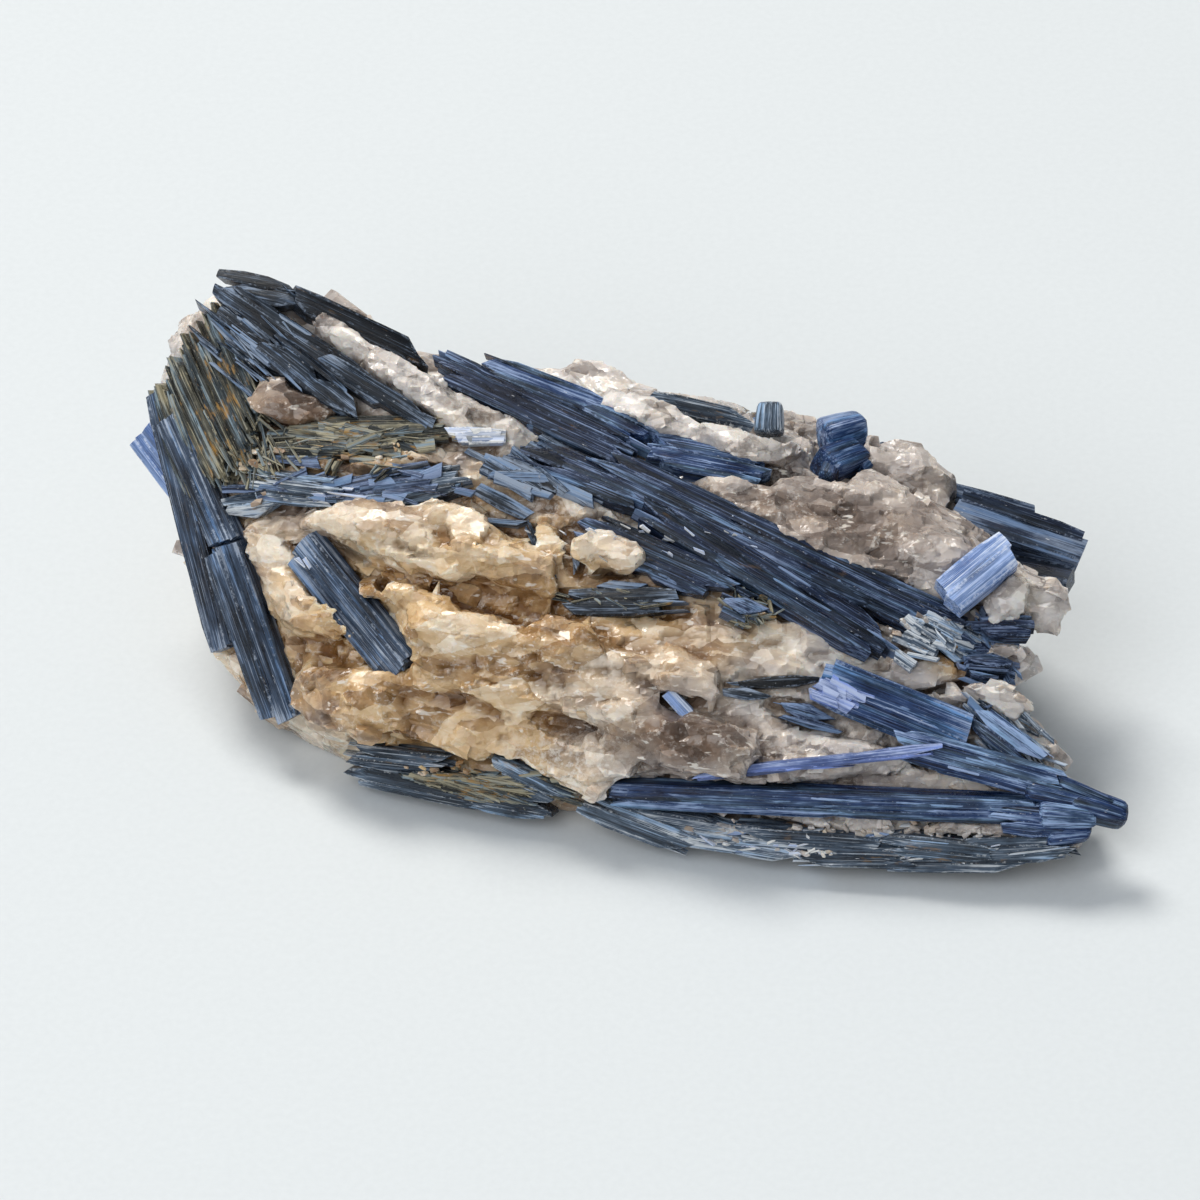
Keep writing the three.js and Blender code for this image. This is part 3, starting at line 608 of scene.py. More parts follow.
# %% Quartz: plain lumps
def plain_lump(seed, flakes, rounded=True):
    """A block one unit wide, with its sides and this many flakes struck off."""
    dice = random.Random(seed)
    bm = bmesh.new()
    bmesh.ops.create_cube(bm, size=1)
    if rounded:
        bmesh.ops.bevel(bm, geom=bm.edges[:], offset=0.13, segments=1, profile=0.5, affect="EDGES", material=-1)
    for v in bm.verts:
        v.co += Vector((dice.gauss(0, 0.03), dice.gauss(0, 0.03), dice.gauss(0, 0.02)))
    sides = [Vector((dice.gauss(0, 0.1), dice.uniform(*tilt), 1)) for tilt in ((-0.45, 0.0), (0.1, 0.5))]
    sides += [Vector((way, dice.gauss(0, 0.45), dice.uniform(-0.1, 0.35))) for way in (-1, 1)]
    sides += [Vector((dice.gauss(0, 0.25), way, dice.uniform(-0.1, 0.4))) for way in (-1, 1)]
    sides += [Vector((dice.gauss(0, 0.7), dice.gauss(0, 0.7), dice.uniform(0.2, 0.9))) for _ in range(flakes)]
    for i, way in enumerate(sides):
        way.normalize()
        reach = dice.uniform(0.37, 0.45) if i > 1 else dice.uniform(0.4, 0.46)
        whole = bm.verts[:] + bm.edges[:] + bm.faces[:]
        cut = bmesh.ops.bisect_plane(bm, geom=whole, plane_co=way * reach, plane_no=way, clear_outer=True)
        rim = [part for part in cut["geom_cut"] if isinstance(part, bmesh.types.BMEdge)]
        if rim:
            bmesh.ops.holes_fill(bm, edges=rim)
    bmesh.ops.remove_doubles(bm, verts=bm.verts, dist=0.03)
    if rounded:
        large = [f for f in bm.faces if f.calc_area() > 0.06]
        bmesh.ops.inset_individual(bm, faces=large, thickness=0.03)
    bmesh.ops.triangulate(bm, faces=[f for f in bm.faces if len(f.verts) > 4])
    return plain_shape(bm)


BIG_LUMPS = [plain_lump(seed, 3) for seed in range(16)]
SMALL_LUMPS = [plain_lump(seed, 2, rounded=False) for seed in range(20, 36)]
print("faces of plain lumps:", [len(m["faces"]) for m in BIG_LUMPS[:4] + SMALL_LUMPS[:4]])

# %% [markdown]
# The lumps are laid over the quartz body, large ones first, each turned along the grain and sunk most of
# the way in. Where a crystal lies they keep off it, because the kyanite stands clear of the quartz there.

# %% Quartz: room round the crystals
MOST_JUT = 2.8


def room_for(place, ahead, length, half_width, share_clear):
    """True if a lump at place, this long along ahead, would keep off every crystal and not jut out."""
    for share in (-0.45, 0.45):
        if skin_tree.find(place + ahead * (length * share))[2] > MOST_JUT:
            return False
    for share in (-0.5, -0.25, 0, 0.25, 0.5):
        for _, i, distance in crystal_tree.find_n(place + ahead * (length * share), 2):
            if distance < crystal_places[i][1] + half_width * share_clear:
                return False
    return True


NEIGHBOURS = [(a, b, c) for a in (-1, 0, 1) for b in (-1, 0, 1) for c in (-1, 0, 1)]


def spread_points(spacing, dice):
    """Points of the skin in random order, no two closer than the spacing."""
    taken = {}
    for i in dice.permutation(len(points)):
        cell = tuple((points[i] // spacing).astype(int))
        near = (taken.get((cell[0] + a, cell[1] + b, cell[2] + c)) for a, b, c in NEIGHBOURS)
        if any(j is not None and ((points[i] - points[j]) ** 2).sum() < spacing**2 for j in near):
            continue
        taken[cell] = i
        yield Vector(points[i])


print("lumps keep off", len(crystal_places), "places")

# %% [markdown]
# The eye reads the quartz by a few dozen large pieces: the smoky lump low in the middle, the white face
# beside it, long ledges across the ochre part, slabs on the grey right side and the white wedges between
# the blades of the crest. Those are laid one by one, each at its own place, heading and size.

# %% Quartz: large slabs
SLABS = [
    # right, up, length, width, thickness, heading, tone, how far its top stands out
    (-29, 33.4, 25, 5.6, 5, -33, 0.85, 1.3),
    (-38.5, 40.4, 13, 3.2, 4, -38, 0.75, 1.2),
    (-15.5, 26.8, 12, 4.4, 4, -24, 0.85, 1.2),
    (-34.2, 30.2, 14, 4.2, 4, -38, 0.7, 1.2),
    (-46, 29.6, 13, 6.4, 4, -22, 0.24, 1.0),
    (-42.5, 20.4, 9, 2.8, 3, -4, 0.3, 1.6),
    (-34, 20.2, 9, 2.6, 3, 4, 0.5, 1.6),
    (-28.4, 21.4, 8, 2.8, 3, -8, 0.6, 1.5),
    (-58.6, 43.6, 8, 3.4, 3.4, -76, 0.85, 1.2),
    (-48, 1.5, 18, 6.6, 5, -66, 0.62, 1.2),
    (-37, -14.6, 17, 11, 6, -10, 0.45, 1.4),
    (-48, -12, 12, 6, 5, -50, 0.5, 0.9),
    (-24, -17.4, 12, 7, 5, -14, 0.5, 1.1),
    (-36, 11.6, 20, 5.6, 5, -6, 0.62, 1.3),
    (-28.5, 7.6, 18, 6.6, 5, -16, 0.6, 1.4),
    (-14, 5.4, 18, 6.4, 5, -17, 0.56, 1.3),
    (-20.5, 12.4, 13, 5, 5, -20, 0.66, 1.3),
    (-21.5, -5.2, 17, 7.6, 5, -12, 0.62, 1.4),
    (-6, -5.2, 14, 7.6, 5, -6, 0.6, 1.4),
    (8, -6.4, 17, 7.4, 5, -6, 0.56, 1.4),
    (-15, -12.6, 21, 7.2, 5, -12, 0.55, 1.3),
    (0.5, -13.4, 13, 6.4, 5, -14, 0.5, 1.2),
    (-10.5, -20.6, 9, 6, 4, -24, 0.55, 1.2),
    (-17.4, -18.2, 13, 6, 4, -14, 0.5, 1.4),
    (12.5, -20.6, 22, 9.6, 6, -9, 0.4, 1.6),
    (-2.4, -23.8, 16, 8.6, 5, 10, 0.8, 1.4),
    (4, -16.6, 11, 4.4, 4, 20, 0.72, 1.4),
    (26.5, -20, 13, 6.4, 4, -16, 0.66, 1.2),
    (38, -22.6, 14, 4.4, 4, -10, 0.7, 1.2),
    (21, -14.6, 9, 4.4, 4, -24, 0.62, 1.2),
    (17.5, -1, 15, 4.6, 4, -12, 0.8, 1.2),
    (29, -4.8, 14, 4.6, 4, -14, 0.84, 1.2),
    (27, -9.4, 13, 4.4, 4, -10, 0.76, 1.2),
    (-6.5, 17.4, 16, 5.6, 4, -28, 0.74, 1.2),
    (-18, 19.4, 12, 5.4, 4, -26, 0.6, 1.1),
    (1.5, 8.4, 11, 4.6, 4, -16, 0.74, 1.2),
    (6.5, 28.6, 17, 5, 4, -20, 0.85, 1.2),
    (23, 23.6, 17, 4.4, 4, -10, 0.85, 1.2),
    (21.5, 14.8, 20, 7.4, 5, -12, 0.42, 1.4),
    (33, 8.4, 20, 9, 5, -20, 0.62, 1.5),
    (42.5, 15.6, 13, 7.6, 5, -28, 0.55, 1.4),
    (49, 20.4, 14, 6, 5, -33, 0.5, 1.3),
    (49.5, 9.6, 12, 7, 5, -30, 0.66, 1.4),
    (15.6, 8.6, 12, 5, 4, -22, 0.5, 1.2),
    (60.5, -0.6, 8, 5, 4, 40, 0.8, 1.4),
    (65.5, -2, 8, 5, 4, -24, 0.62, 1.2),
    (37.5, -32.7, 16, 3.4, 3, -2, 0.85, 1.6),
    (58, -33.6, 18, 3.0, 3, -2, 0.8, 3.0),
    (1.5, -3.2, 13, 5, 5, -8, 0.56, 1.3),
    (-27.5, 0.6, 12, 5, 5, -14, 0.56, 1.2),
]


def lump_points(shape, place, ahead, normal, size, stand, dice):
    """The points of one lump of a (length, width, thickness), its top standing a share of the thickness out."""
    over = normal.cross(ahead)
    tilt = Matrix.Rotation(dice.gauss(0, 0.12), 3, ahead) @ Matrix.Rotation(dice.gauss(0, 0.07), 3, over)
    turn = np.array(tilt @ Matrix((ahead, over, normal)).transposed())
    own = (shape["points"] * size) @ turn.T + np.array(place - normal * (size[2] * (0.4 - stand)))
    own[:, 2] = np.maximum(own[:, 2], 0.05)
    return own


def lying(heading, normal):
    """The step along the face that the eye sees as 1 mm at this heading."""
    step = from_view(math.cos(math.radians(heading)), math.sin(math.radians(heading)), 0) - from_view(0, 0, 0)
    step -= OUT * (step.dot(normal) / max(OUT.dot(normal), 0.5))
    return step


slab_dice = random.Random(90)
slab_heap = Heap()
slab_places = []
for right, up, length, width, thick, heading, tone, stand in SLABS:
    place = seen_point(right, up)
    near = [i for _, i, _ in skin_tree.find_range(place, 4.5)]
    normal = Vector(normals[near].mean(0)) + stone_normal(right, up) if near else stone_normal(right, up)
    normal.normalize()
    ahead = lying(heading, normal)
    length *= ahead.length
    width *= lying(heading + 90, normal).length
    ahead.normalize()
    normal = (normal - ahead * normal.dot(ahead)).normalized()
    shape = plain_lump(slab_dice.randrange(1000), 6)
    own = lump_points(shape, place, ahead, normal, (length, width, thick), stand / thick - 0.1, slab_dice)
    slab_heap.add(own, shape["faces"])
    slab_places += [(place + ahead * (length * share), width / 2, tone) for share in (-0.4, -0.2, 0, 0.2, 0.4)]
slab_tree = tree_of([place for place, *_ in slab_places])


def on_slab(place, half_width):
    """True if a lump at this place would hide a slab."""
    _, i, distance = slab_tree.find(place)
    return distance < slab_places[i][1] + 0.25 * half_width


print(len(SLABS), "slabs laid")

# %% [markdown]
# Between the slabs the body gets ledges, strewn by chance but all turned along the grain. Then body,
# slabs and ledges are melted together: a second remesh over all of them keeps only the outer skin, so
# that nothing looks glued on, as it would if the lumps stayed separate stones.

# %% Quartz: ledges
# plain lumps, spacing in mm, length, width, thickness, share that stands out, clearance
LEDGES = (BIG_LUMPS, 5.0, (8, 20), (4, 8), (4, 6), 0.02, 0.65)
LEDGE_SEED = 40


def strewn_lumps(plain, spacing, lengths, widths, thicknesses, stand, clear, seed):
    """(shape, points) of lumps laid over the skin, each where there is room for it."""
    dice = random.Random(seed)
    for place in spread_points(spacing, np.random.default_rng(seed)):
        size = dice.uniform(*lengths), dice.uniform(*widths), dice.uniform(*thicknesses)
        if place.z < size[2] * 0.6:
            continue
        near = [i for _, i, _ in skin_tree.find_range(place, max(1.6, size[1] * 0.45))]
        normal = Vector(normals[near].mean(0)).normalized()
        ahead = grain - normal * grain.dot(normal)
        if ahead.length < 0.3:
            ahead = across_grain - normal * across_grain.dot(normal)
        ahead = Matrix.Rotation(dice.gauss(0, 0.22), 3, normal) @ ahead.normalized()
        if room_for(place, ahead, size[0], size[1] / 2, clear) and not on_slab(place, size[1] / 2):
            shape = dice.choice(plain)
            yield shape, lump_points(shape, place, ahead, normal, size, stand, dice)


for shape, own in strewn_lumps(*LEDGES, LEDGE_SEED):
    slab_heap.add(own, shape["faces"])
rough = merged_copy("quartz_matrix")
bm = bmesh.new()
bm.from_mesh(rough.data)
bm.from_mesh(slab_heap.mesh("slabs_and_ledges"))
bm.to_mesh(rough.data)
bm.free()
quartz_mesh = even_skin(rough, "quartz_body")
print("quartz body:", len(quartz_mesh.vertices), "points")

# %% [markdown]
# The breaks: points are strewn over the skin, and each one claims the part of the skin nearest to it.
# That part is pressed on to one tilted plane at its own height, so it becomes a flat face that meets
# its neighbours in sharp edges. Distances along the grain count for less, so the faces come out long
# and narrow. A first pass makes the large faces and a second one chips their borders.

# %% Quartz: broken faces
BREAKS = [
    # size of a face in mm, how long it is for its width, how flat it is pressed, height spread in mm, tilt, seed
    (7.0, 2.2, 0.95, 0.25, 0.07, 1),
    (3.4, 1.8, 0.9, 0.1, 0.12, 2),
]
MOST_PRESSED = 1.6
FOOT = 2.5


def owners(places, size, stretch, dice):
    """Which claimed part every place belongs to, and how many parts there are."""
    flat = places @ GRAIN_AXES.T
    flat[:, 0] /= stretch
    count = int(len(places) * (VOXEL / MM) ** 2 / (size * size / stretch))
    seeds = tree_of(flat[dice.choice(len(places), count, replace=False)])
    return np.array([seeds.find(p)[1] for p in flat]), count


def per_part(values, owner, count):
    """The sum of the values over each part."""
    return np.stack([np.bincount(owner, values[:, k], count) for k in range(3)], 1)


def broken(places, facing, size, stretch, flatness, spread, tilt, seed):
    """The places after each part is pressed on to its own plane, and a shade for each part."""
    dice = np.random.default_rng(seed)
    owner, count = owners(places, size, stretch, dice)
    members = np.maximum(np.bincount(owner, minlength=count), 1)[:, None]
    centre = per_part(places, owner, count) / members
    normal = per_part(facing, owner, count) / members
    evenness = np.linalg.norm(normal, axis=1)
    normal += dice.normal(0, tilt, (count, 3))
    normal /= np.maximum(np.linalg.norm(normal, axis=1), 1e-6)[:, None]
    height = dice.normal(0, spread, count).clip(-2 * spread, 2 * spread)
    off = np.clip(((places - centre[owner]) * normal[owner]).sum(1), -MOST_PRESSED, MOST_PRESSED)
    step = (height - 0.1)[owner] - off * flatness * evenness[owner]
    step *= np.clip((places[:, 2] - 0.3) / FOOT, 0, 1)
    return places + normal[owner] * step[:, None], dice.uniform(0, 1, count)[owner]


moved, body_normals = read_points(quartz_mesh)
face_tone = np.zeros(len(moved))
for row in BREAKS:
    moved, part_tone = broken(moved, body_normals, *row)
    face_tone += part_tone / len(BREAKS)
moved[:, 2] = np.maximum(moved[:, 2], 0)
quartz_mesh.vertices.foreach_set("co", (moved * MM).ravel())
quartz_mesh.update()
quartz_mesh.shade_smooth()
quartz_mesh.set_sharp_from_angle(angle=math.radians(20))
print("flat faces pressed into", len(moved), "points")

# %% [markdown]
# The quartz isn't one colour. Iron has stained the front and the left ochre, a lump low in the middle and
# the right side are smoky, and the wedges between the blades are white with frost. Each zone is a few
# soft patches given in the view, painted on the points as a value that the material reads. A painted
# image would need a map of the whole skin, and these patches need none.

# %% Quartz: zones of colour
STAINS = [
    # right, up, reach right, reach up, strength: where iron has coloured the quartz
    (-38, -4, 26, 20, 0.95),
    (-14, -6, 26, 16, 0.8),
    (-20, -20, 14, 7, 1.0),
    (-12, 12, 16, 10, 0.6),
    (8, -2, 12, 8, 0.75),
    (24, -6, 14, 5, 0.5),
    (-55, 28, 7, 14, 0.6),
    (-38, 22, 14, 5, 0.8),
    (-8, -29, 8, 5, 0.9),
    (53, -9, 3, 3, 1.4),
]
SMOKE = [
    # the same columns: where it is smoky
    (13, -21, 11, 5, 1.1),
    (30, 12, 24, 9, 0.6),
    (46, 10, 14, 8, 0.3),
    (-46, 27, 8, 6, 1.2),
    (-4, -9, 22, 6, 0.35),
]
FROST = [
    # the same columns: where it is white
    (-6, -25, 8, 5, 0.9),
    (38, -21, 15, 6, 0.45),
    (-22, 30, 14, 6, 0.7),
    (20, 24, 22, 7, 0.5),
    (-62, 44, 5, 8, 0.8),
    (-5, 14, 16, 6, 0.4),
    (38, -32.6, 8, 1.8, 0.9),
    (58, -33.8, 9, 1.8, 0.6),
]


def zone(points, patches):
    """How strongly soft patches, given in the view, reach each point."""
    right, up = view_of(points)
    total = np.zeros(len(points))
    for r, u, wide, tall, strength in patches:
        total += strength * np.exp(-(((right - r) / wide) ** 2 + ((up - u) / tall) ** 2))
    return np.clip(total, 0, 1.4)


for name, patches in (("stain", STAINS), ("smoke", SMOKE), ("frost", FROST)):
    add_value(quartz_mesh, name, zone(moved, patches))
print("zones painted on", len(moved), "points")

# %% [markdown]
# Crushed edges are white, and the crevices get a painted brown shade, so the material has to know where
# the skin is sharp and where it is sunk. Both come from one measure: how far a point stands out of the
# middle of its neighbours. A few turns of that find the edges, and many turns find the hollows. The slabs
# and the flat faces also get their own shades here, as no two pieces of the real stone are equally clear.

# %% Quartz: edges, hollows and shades
EDGE_TURNS = 2
HOLLOW_TURNS = 24


def settled(places, turns):
    """The places after each has moved to the middle of its neighbours a few times."""
    pairs = np.empty(len(quartz_mesh.edges) * 2, dtype=np.int32)
    quartz_mesh.edges.foreach_get("vertices", pairs)
    one, other = pairs.reshape(-1, 2).T
    ends = np.concatenate([one, other]), np.concatenate([other, one])
    count = np.maximum(np.bincount(ends[0], minlength=len(places)), 1)
    for _ in range(turns):
        places = np.stack([np.bincount(ends[0], places[ends[1], k], len(places)) / count for k in range(3)], 1)
    return places


ridge = ((moved - settled(moved, EDGE_TURNS)) * body_normals).sum(1)
standing = ((moved - settled(moved, HOLLOW_TURNS)) * body_normals).sum(1)
slab_near = [slab_tree.find(p) for p in moved]
slab_tone = np.array([slab_places[i][2] - 0.5 if d < slab_places[i][1] * 1.15 else 0.0 for _, i, d in slab_near])
add_value(quartz_mesh, "tone", 0.3 + 0.36 * face_tone + 0.7 * slab_tone)
add_value(quartz_mesh, "edge", np.clip((ridge - 0.05) * 12, 0, 1))
# painted shade: the sunk places of the skin get a value that the material turns into darker, browner crevices
add_value(quartz_mesh, "sunk", np.clip(-0.1 - standing * 1.6, 0, 0.9))
print("edges, mm:", np.percentile(ridge, [2, 98]).round(2), "hollows:", np.percentile(standing, [2, 98]).round(2))

# %% [markdown]
# Broken quartz shows three things at once. There are cloudy patches a few millimetres long, because
# the eye looks into the glass and meets old cracks at different depths. There are hair-thin white lines
# where such a crack comes out. And the crevices are dark: a painted brown shade on the low parts,
# browner where the quartz is stained. A cell pattern with a value for each cell gives the patches, its
# borders give the lines, and a value painted on the low parts gives the painted shade.

# %% Quartz: the material
# natural quartz, broken and never polished: glassy, cloudy inside and stained by iron along its cracks
# sizes of its patterns in mm: the stir of them all, large and small clear patches, clouds, veils and grit
STIR = 3.03
STIRRED_BY = 1.1 * MM
LARGE_CELL = 6.25
SMALL_CELL = 2.325
CLOUD = 7.7
VEIL = 2.38
# the real grit is finer than 0.1 mm, which the picture can't show
GRIT = 0.91

quartz_material, tree, surface = new_material("iron_stained_quartz")
coords = add_node(tree, "ShaderNodeTexCoord").outputs["Object"]
stain, smoke, frost, tone, edge, sunk = (
    add_node(tree, "ShaderNodeAttribute", {"attribute_name": name}).outputs["Fac"]
    for name in ("stain", "smoke", "frost", "tone", "edge", "sunk")
)
stir = add_node(tree, "ShaderNodeTexNoise", in0=coords, Scale=per(STIR), Detail=3.0).outputs["Color"]
stirred = add_node(tree, "ShaderNodeVectorMath", {"operation": "MULTIPLY_ADD"},
                   in0=stir, in1=(STIRRED_BY,) * 3, in2=coords).outputs[0]
stirred = add_node(tree, "ShaderNodeMapping", in0=stirred, Rotation=(0.0, 0.0, 0.2), Scale=(0.46, 1.0, 1.0)).outputs[0]


def cells(size):
    """The value of each cell, how near its border is, and its height as a tilted flat face, in metres."""
    inner = add_node(tree, "ShaderNodeTexVoronoi", in0=stirred, Scale=per(size)).outputs
    border = add_node(tree, "ShaderNodeTexVoronoi", {"feature": "DISTANCE_TO_EDGE"}, in0=stirred, Scale=per(size))
    slope = add_node(tree, "ShaderNodeVectorMath", {"operation": "SUBTRACT"}, in0=inner["Color"], in1=(0.5,) * 3)
    offset = add_node(tree, "ShaderNodeVectorMath", {"operation": "SUBTRACT"}, in0=stirred, in1=inner["Position"])
    height = add_node(tree, "ShaderNodeVectorMath", {"operation": "DOT_PRODUCT"},
                      in0=slope.outputs[0], in1=offset.outputs[0])
    value = add_node(tree, "ShaderNodeSeparateColor", in0=inner["Color"])
    return value.outputs[0], border.outputs["Distance"], height.outputs["Value"]


def add_up(*parts):
    """The sum of (socket, weight) pairs, with the middle of each weighed part at zero."""
    total = parts[0][0]
    for part, weight in parts[1:]:
        part = add_node(tree, "ShaderNodeMath", {"operation": "SUBTRACT"}, in0=part, in1=0.5).outputs[0]
        total = add_node(tree, "ShaderNodeMath", {"operation": "MULTIPLY_ADD"}, in0=part, in1=weight, in2=total)
        total = total.outputs[0]
    return total


large_cell, large_border, large_height = cells(LARGE_CELL)
small_cell, small_border, small_height = cells(SMALL_CELL)
clouds = add_node(tree, "ShaderNodeTexNoise", in0=coords, Scale=per(CLOUD), Detail=4.0, Roughness=0.55).outputs[0]
veils = add_node(tree, "ShaderNodeTexNoise", in0=stirred, Scale=per(VEIL), Detail=4.0, Roughness=0.6, Distortion=0.8)
veils = veils.outputs[0]
grit = add_node(tree, "ShaderNodeTexNoise", in0=coords, Scale=per(GRIT), Detail=4.0, Roughness=0.7).outputs[0]
print("patterns laid out")

# %% [markdown]
# The patterns add up to one shade, and two ramps turn it into a colour: one grey, for clear quartz, and
# one ochre, for stained quartz. The painted stain says how much of each a place gets. Smoke then darkens
# it by multiplying, as more glass in the light's way does, and the hollows get a painted brown shade
# the same way.

# %% Quartz: the colours
shade = add_up((tone, 1.0), (veils, 0.6), (large_cell, 0.42), (small_cell, 0.4), (clouds, 0.7))
grey = set_ramp(
    add_node(tree, "ShaderNodeValToRGB", in0=shade),
    [(0.0, linear("#857A74")), (0.32, linear("#AEA5A0")), (0.6, linear("#D2CBC7")), (1.0, linear("#F2EEEA"))],
).outputs[0]
ochre = set_ramp(
    add_node(tree, "ShaderNodeValToRGB", in0=shade),
    [(0.0, linear("#7A5832")), (0.32, linear("#B79264")), (0.6, linear("#DDBF94")), (1.0, linear("#F7EBD6"))],
).outputs[0]
stained = add_up((stain, 1.0), (clouds, 1.7), (veils, 0.5))
share = add_node(tree, "ShaderNodeMath", {"operation": "MULTIPLY", "use_clamp": True}, in0=stained, in1=0.88).outputs[0]
stained = add_node(tree, "ShaderNodeMix", {"data_type": "RGBA"}, in0=share, in6=grey, in7=ochre).outputs[2]
smoked = add_node(tree, "ShaderNodeMix", {"data_type": "RGBA", "blend_type": "MULTIPLY"},
                  in0=smoke, in6=stained, in7=linear("#A08C7C")).outputs[2]
# painted shade: the crevices are multiplied darker, grey-brown in clear quartz and brown where it is stained
painted_crevice_shade = add_node(tree, "ShaderNodeMix", {"data_type": "RGBA"},
                   in0=share, in6=linear("#9A8E86"), in7=linear("#9A7C50")).outputs[2]
shaded = add_node(tree, "ShaderNodeMix", {"data_type": "RGBA", "blend_type": "MULTIPLY"},
                  in0=sunk, in6=smoked, in7=painted_crevice_shade).outputs[2]
print("quartz colours mixed")

# %% [markdown]
# White comes last, over the colour: hair-thin lines where cracks come out, crushed edges, small flakes
# that lie in the grain's direction, and sugary frost in the painted zones. Lines are kept only where the
# grit is strong, so that they come and go as real cracks do.

# %% Quartz: white lines and flakes
FLAKE = 1.11

lines = add_node(tree, "ShaderNodeMapRange", in0=large_border, in1=0.0, in2=0.035, in3=1.0, in4=0.0).outputs[0]
thin_lines = add_node(tree, "ShaderNodeMapRange", in0=small_border, in1=0.0, in2=0.06, in3=0.8, in4=0.0).outputs[0]
lines = add_node(tree, "ShaderNodeMath", {"operation": "MAXIMUM"}, in0=lines, in1=thin_lines).outputs[0]
lines = add_node(tree, "ShaderNodeMath", {"operation": "MAXIMUM"}, in0=lines, in1=edge).outputs[0]
broken_up = add_node(tree, "ShaderNodeMapRange", in0=grit, in1=0.5, in2=0.62).outputs[0]
seldom = add_node(tree, "ShaderNodeMapRange", in0=clouds, in1=0.42, in2=0.6, in3=0.12, in4=0.75).outputs[0]
broken_up = add_node(tree, "ShaderNodeMath", {"operation": "MULTIPLY"}, in0=broken_up, in1=seldom).outputs[0]
lines = add_node(tree, "ShaderNodeMath", {"operation": "MULTIPLY"}, in0=lines, in1=broken_up).outputs[0]
flakes = add_node(tree, "ShaderNodeMapping", in0=coords, Rotation=(0.5, 0.0, 0.9), Scale=(0.3, 1.0, 1.0)).outputs[0]
flakes = add_node(tree, "ShaderNodeTexNoise", in0=flakes, Scale=per(FLAKE), Detail=2.0, Roughness=0.6).outputs[0]
flakes = add_node(tree, "ShaderNodeMapRange", in0=flakes, in1=0.64, in2=0.69, in3=0.0, in4=0.7).outputs[0]
sugar = add_node(tree, "ShaderNodeMapRange", in0=grit, in1=0.47, in2=0.62).outputs[0]
sugar = add_node(tree, "ShaderNodeMath", {"operation": "MULTIPLY"}, in0=sugar, in1=frost).outputs[0]
white = add_node(tree, "ShaderNodeMath", {"operation": "MAXIMUM"}, in0=lines, in1=flakes).outputs[0]
white = add_node(tree, "ShaderNodeMath", {"operation": "MAXIMUM", "use_clamp": True}, in0=white, in1=sugar).outputs[0]
frosted = add_node(tree, "ShaderNodeMix", {"data_type": "RGBA"}, in0=white, in6=shaded, in7=linear("#F0EAE2"))
tree.links.new(frosted.outputs[2], surface.inputs["Base Color"])
print("white laid over the colours")

# %% [markdown]
# A fresh break in quartz is as glossy as glass, and the gloss shows its form: two sizes of tilted flat
# faces, ripples on them, and fine grit. These are bumps, because they are too small for the mesh. Crushed
# white places are rough. A little light goes under the skin and comes out again, as in any cloudy glass.

# %% Quartz: gloss and bumps
RIPPLE = 3.03
RIPPLE_HEIGHT = 0.4 * MM
GRIT_HEIGHT = 0.1 * MM
LIGHT_REACH = 0.9 * MM

roughness = add_node(tree, "ShaderNodeMapRange", in0=veils, in1=0.35, in2=0.65, in3=0.12, in4=0.36).outputs[0]
roughness = add_node(tree, "ShaderNodeMath", {"operation": "MULTIPLY_ADD"}, in0=white, in1=0.35, in2=roughness)
tree.links.new(roughness.outputs[0], surface.inputs["Roughness"])
surface.inputs["IOR"].default_value = 1.54
surface.inputs["Subsurface Weight"].default_value = 0.6
surface.inputs["Subsurface Radius"].default_value = (1.0, 0.8, 0.6)
surface.inputs["Subsurface Scale"].default_value = LIGHT_REACH

ripples = add_node(tree, "ShaderNodeTexNoise", in0=stirred, Scale=per(RIPPLE), Detail=3.0, Distortion=0.6).outputs[0]
facets = add_node(tree, "ShaderNodeMath", {"operation": "MULTIPLY_ADD"}, in0=large_height, in1=0.8, in2=small_height)
facets = add_node(tree, "ShaderNodeBump", Strength=0.85, Distance=1.0, Height=facets.outputs[0])
bump = add_node(tree, "ShaderNodeBump", Strength=0.35, Distance=RIPPLE_HEIGHT, Height=ripples, Normal=facets.outputs[0])
bump_fine = add_node(tree, "ShaderNodeBump", Strength=0.3, Distance=GRIT_HEIGHT, Height=grit, Normal=bump.outputs[0])
tree.links.new(bump_fine.outputs[0], surface.inputs["Normal"])
print("quartz material has", len(tree.nodes), "nodes")

# %% [markdown]
# The broken skin takes the place of the plain quartz solid. It stays one piece, as the real matrix is one
# piece of rock.

# %% Quartz: dressing the body
quartz_body = bpy.data.objects.new("quartz_body", quartz_mesh)
quartz_mesh.materials.clear()
quartz_mesh.materials.append(quartz_material)
bpy.context.collection.objects.link(quartz_body)
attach(quartz_body, "root")
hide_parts("quartz_matrix")
print("quartz body dressed")

# %% [markdown]
# Kyanite cleaves into long thin laths, so a blade is never one smooth bar. Each lath here starts as one
# cube: a line is cut down its middle, its two outer edges are bevelled, and it is cut across into short
# lengths. That plain lath is made once for each number of lengths and then laid many times. Where it is
# laid it gets its own low ridge, its own lean and a point at each end, as a splinter has.

# %% A plain lath
LATH_EDGE = 0.1
MOST_LENGTHS = 10


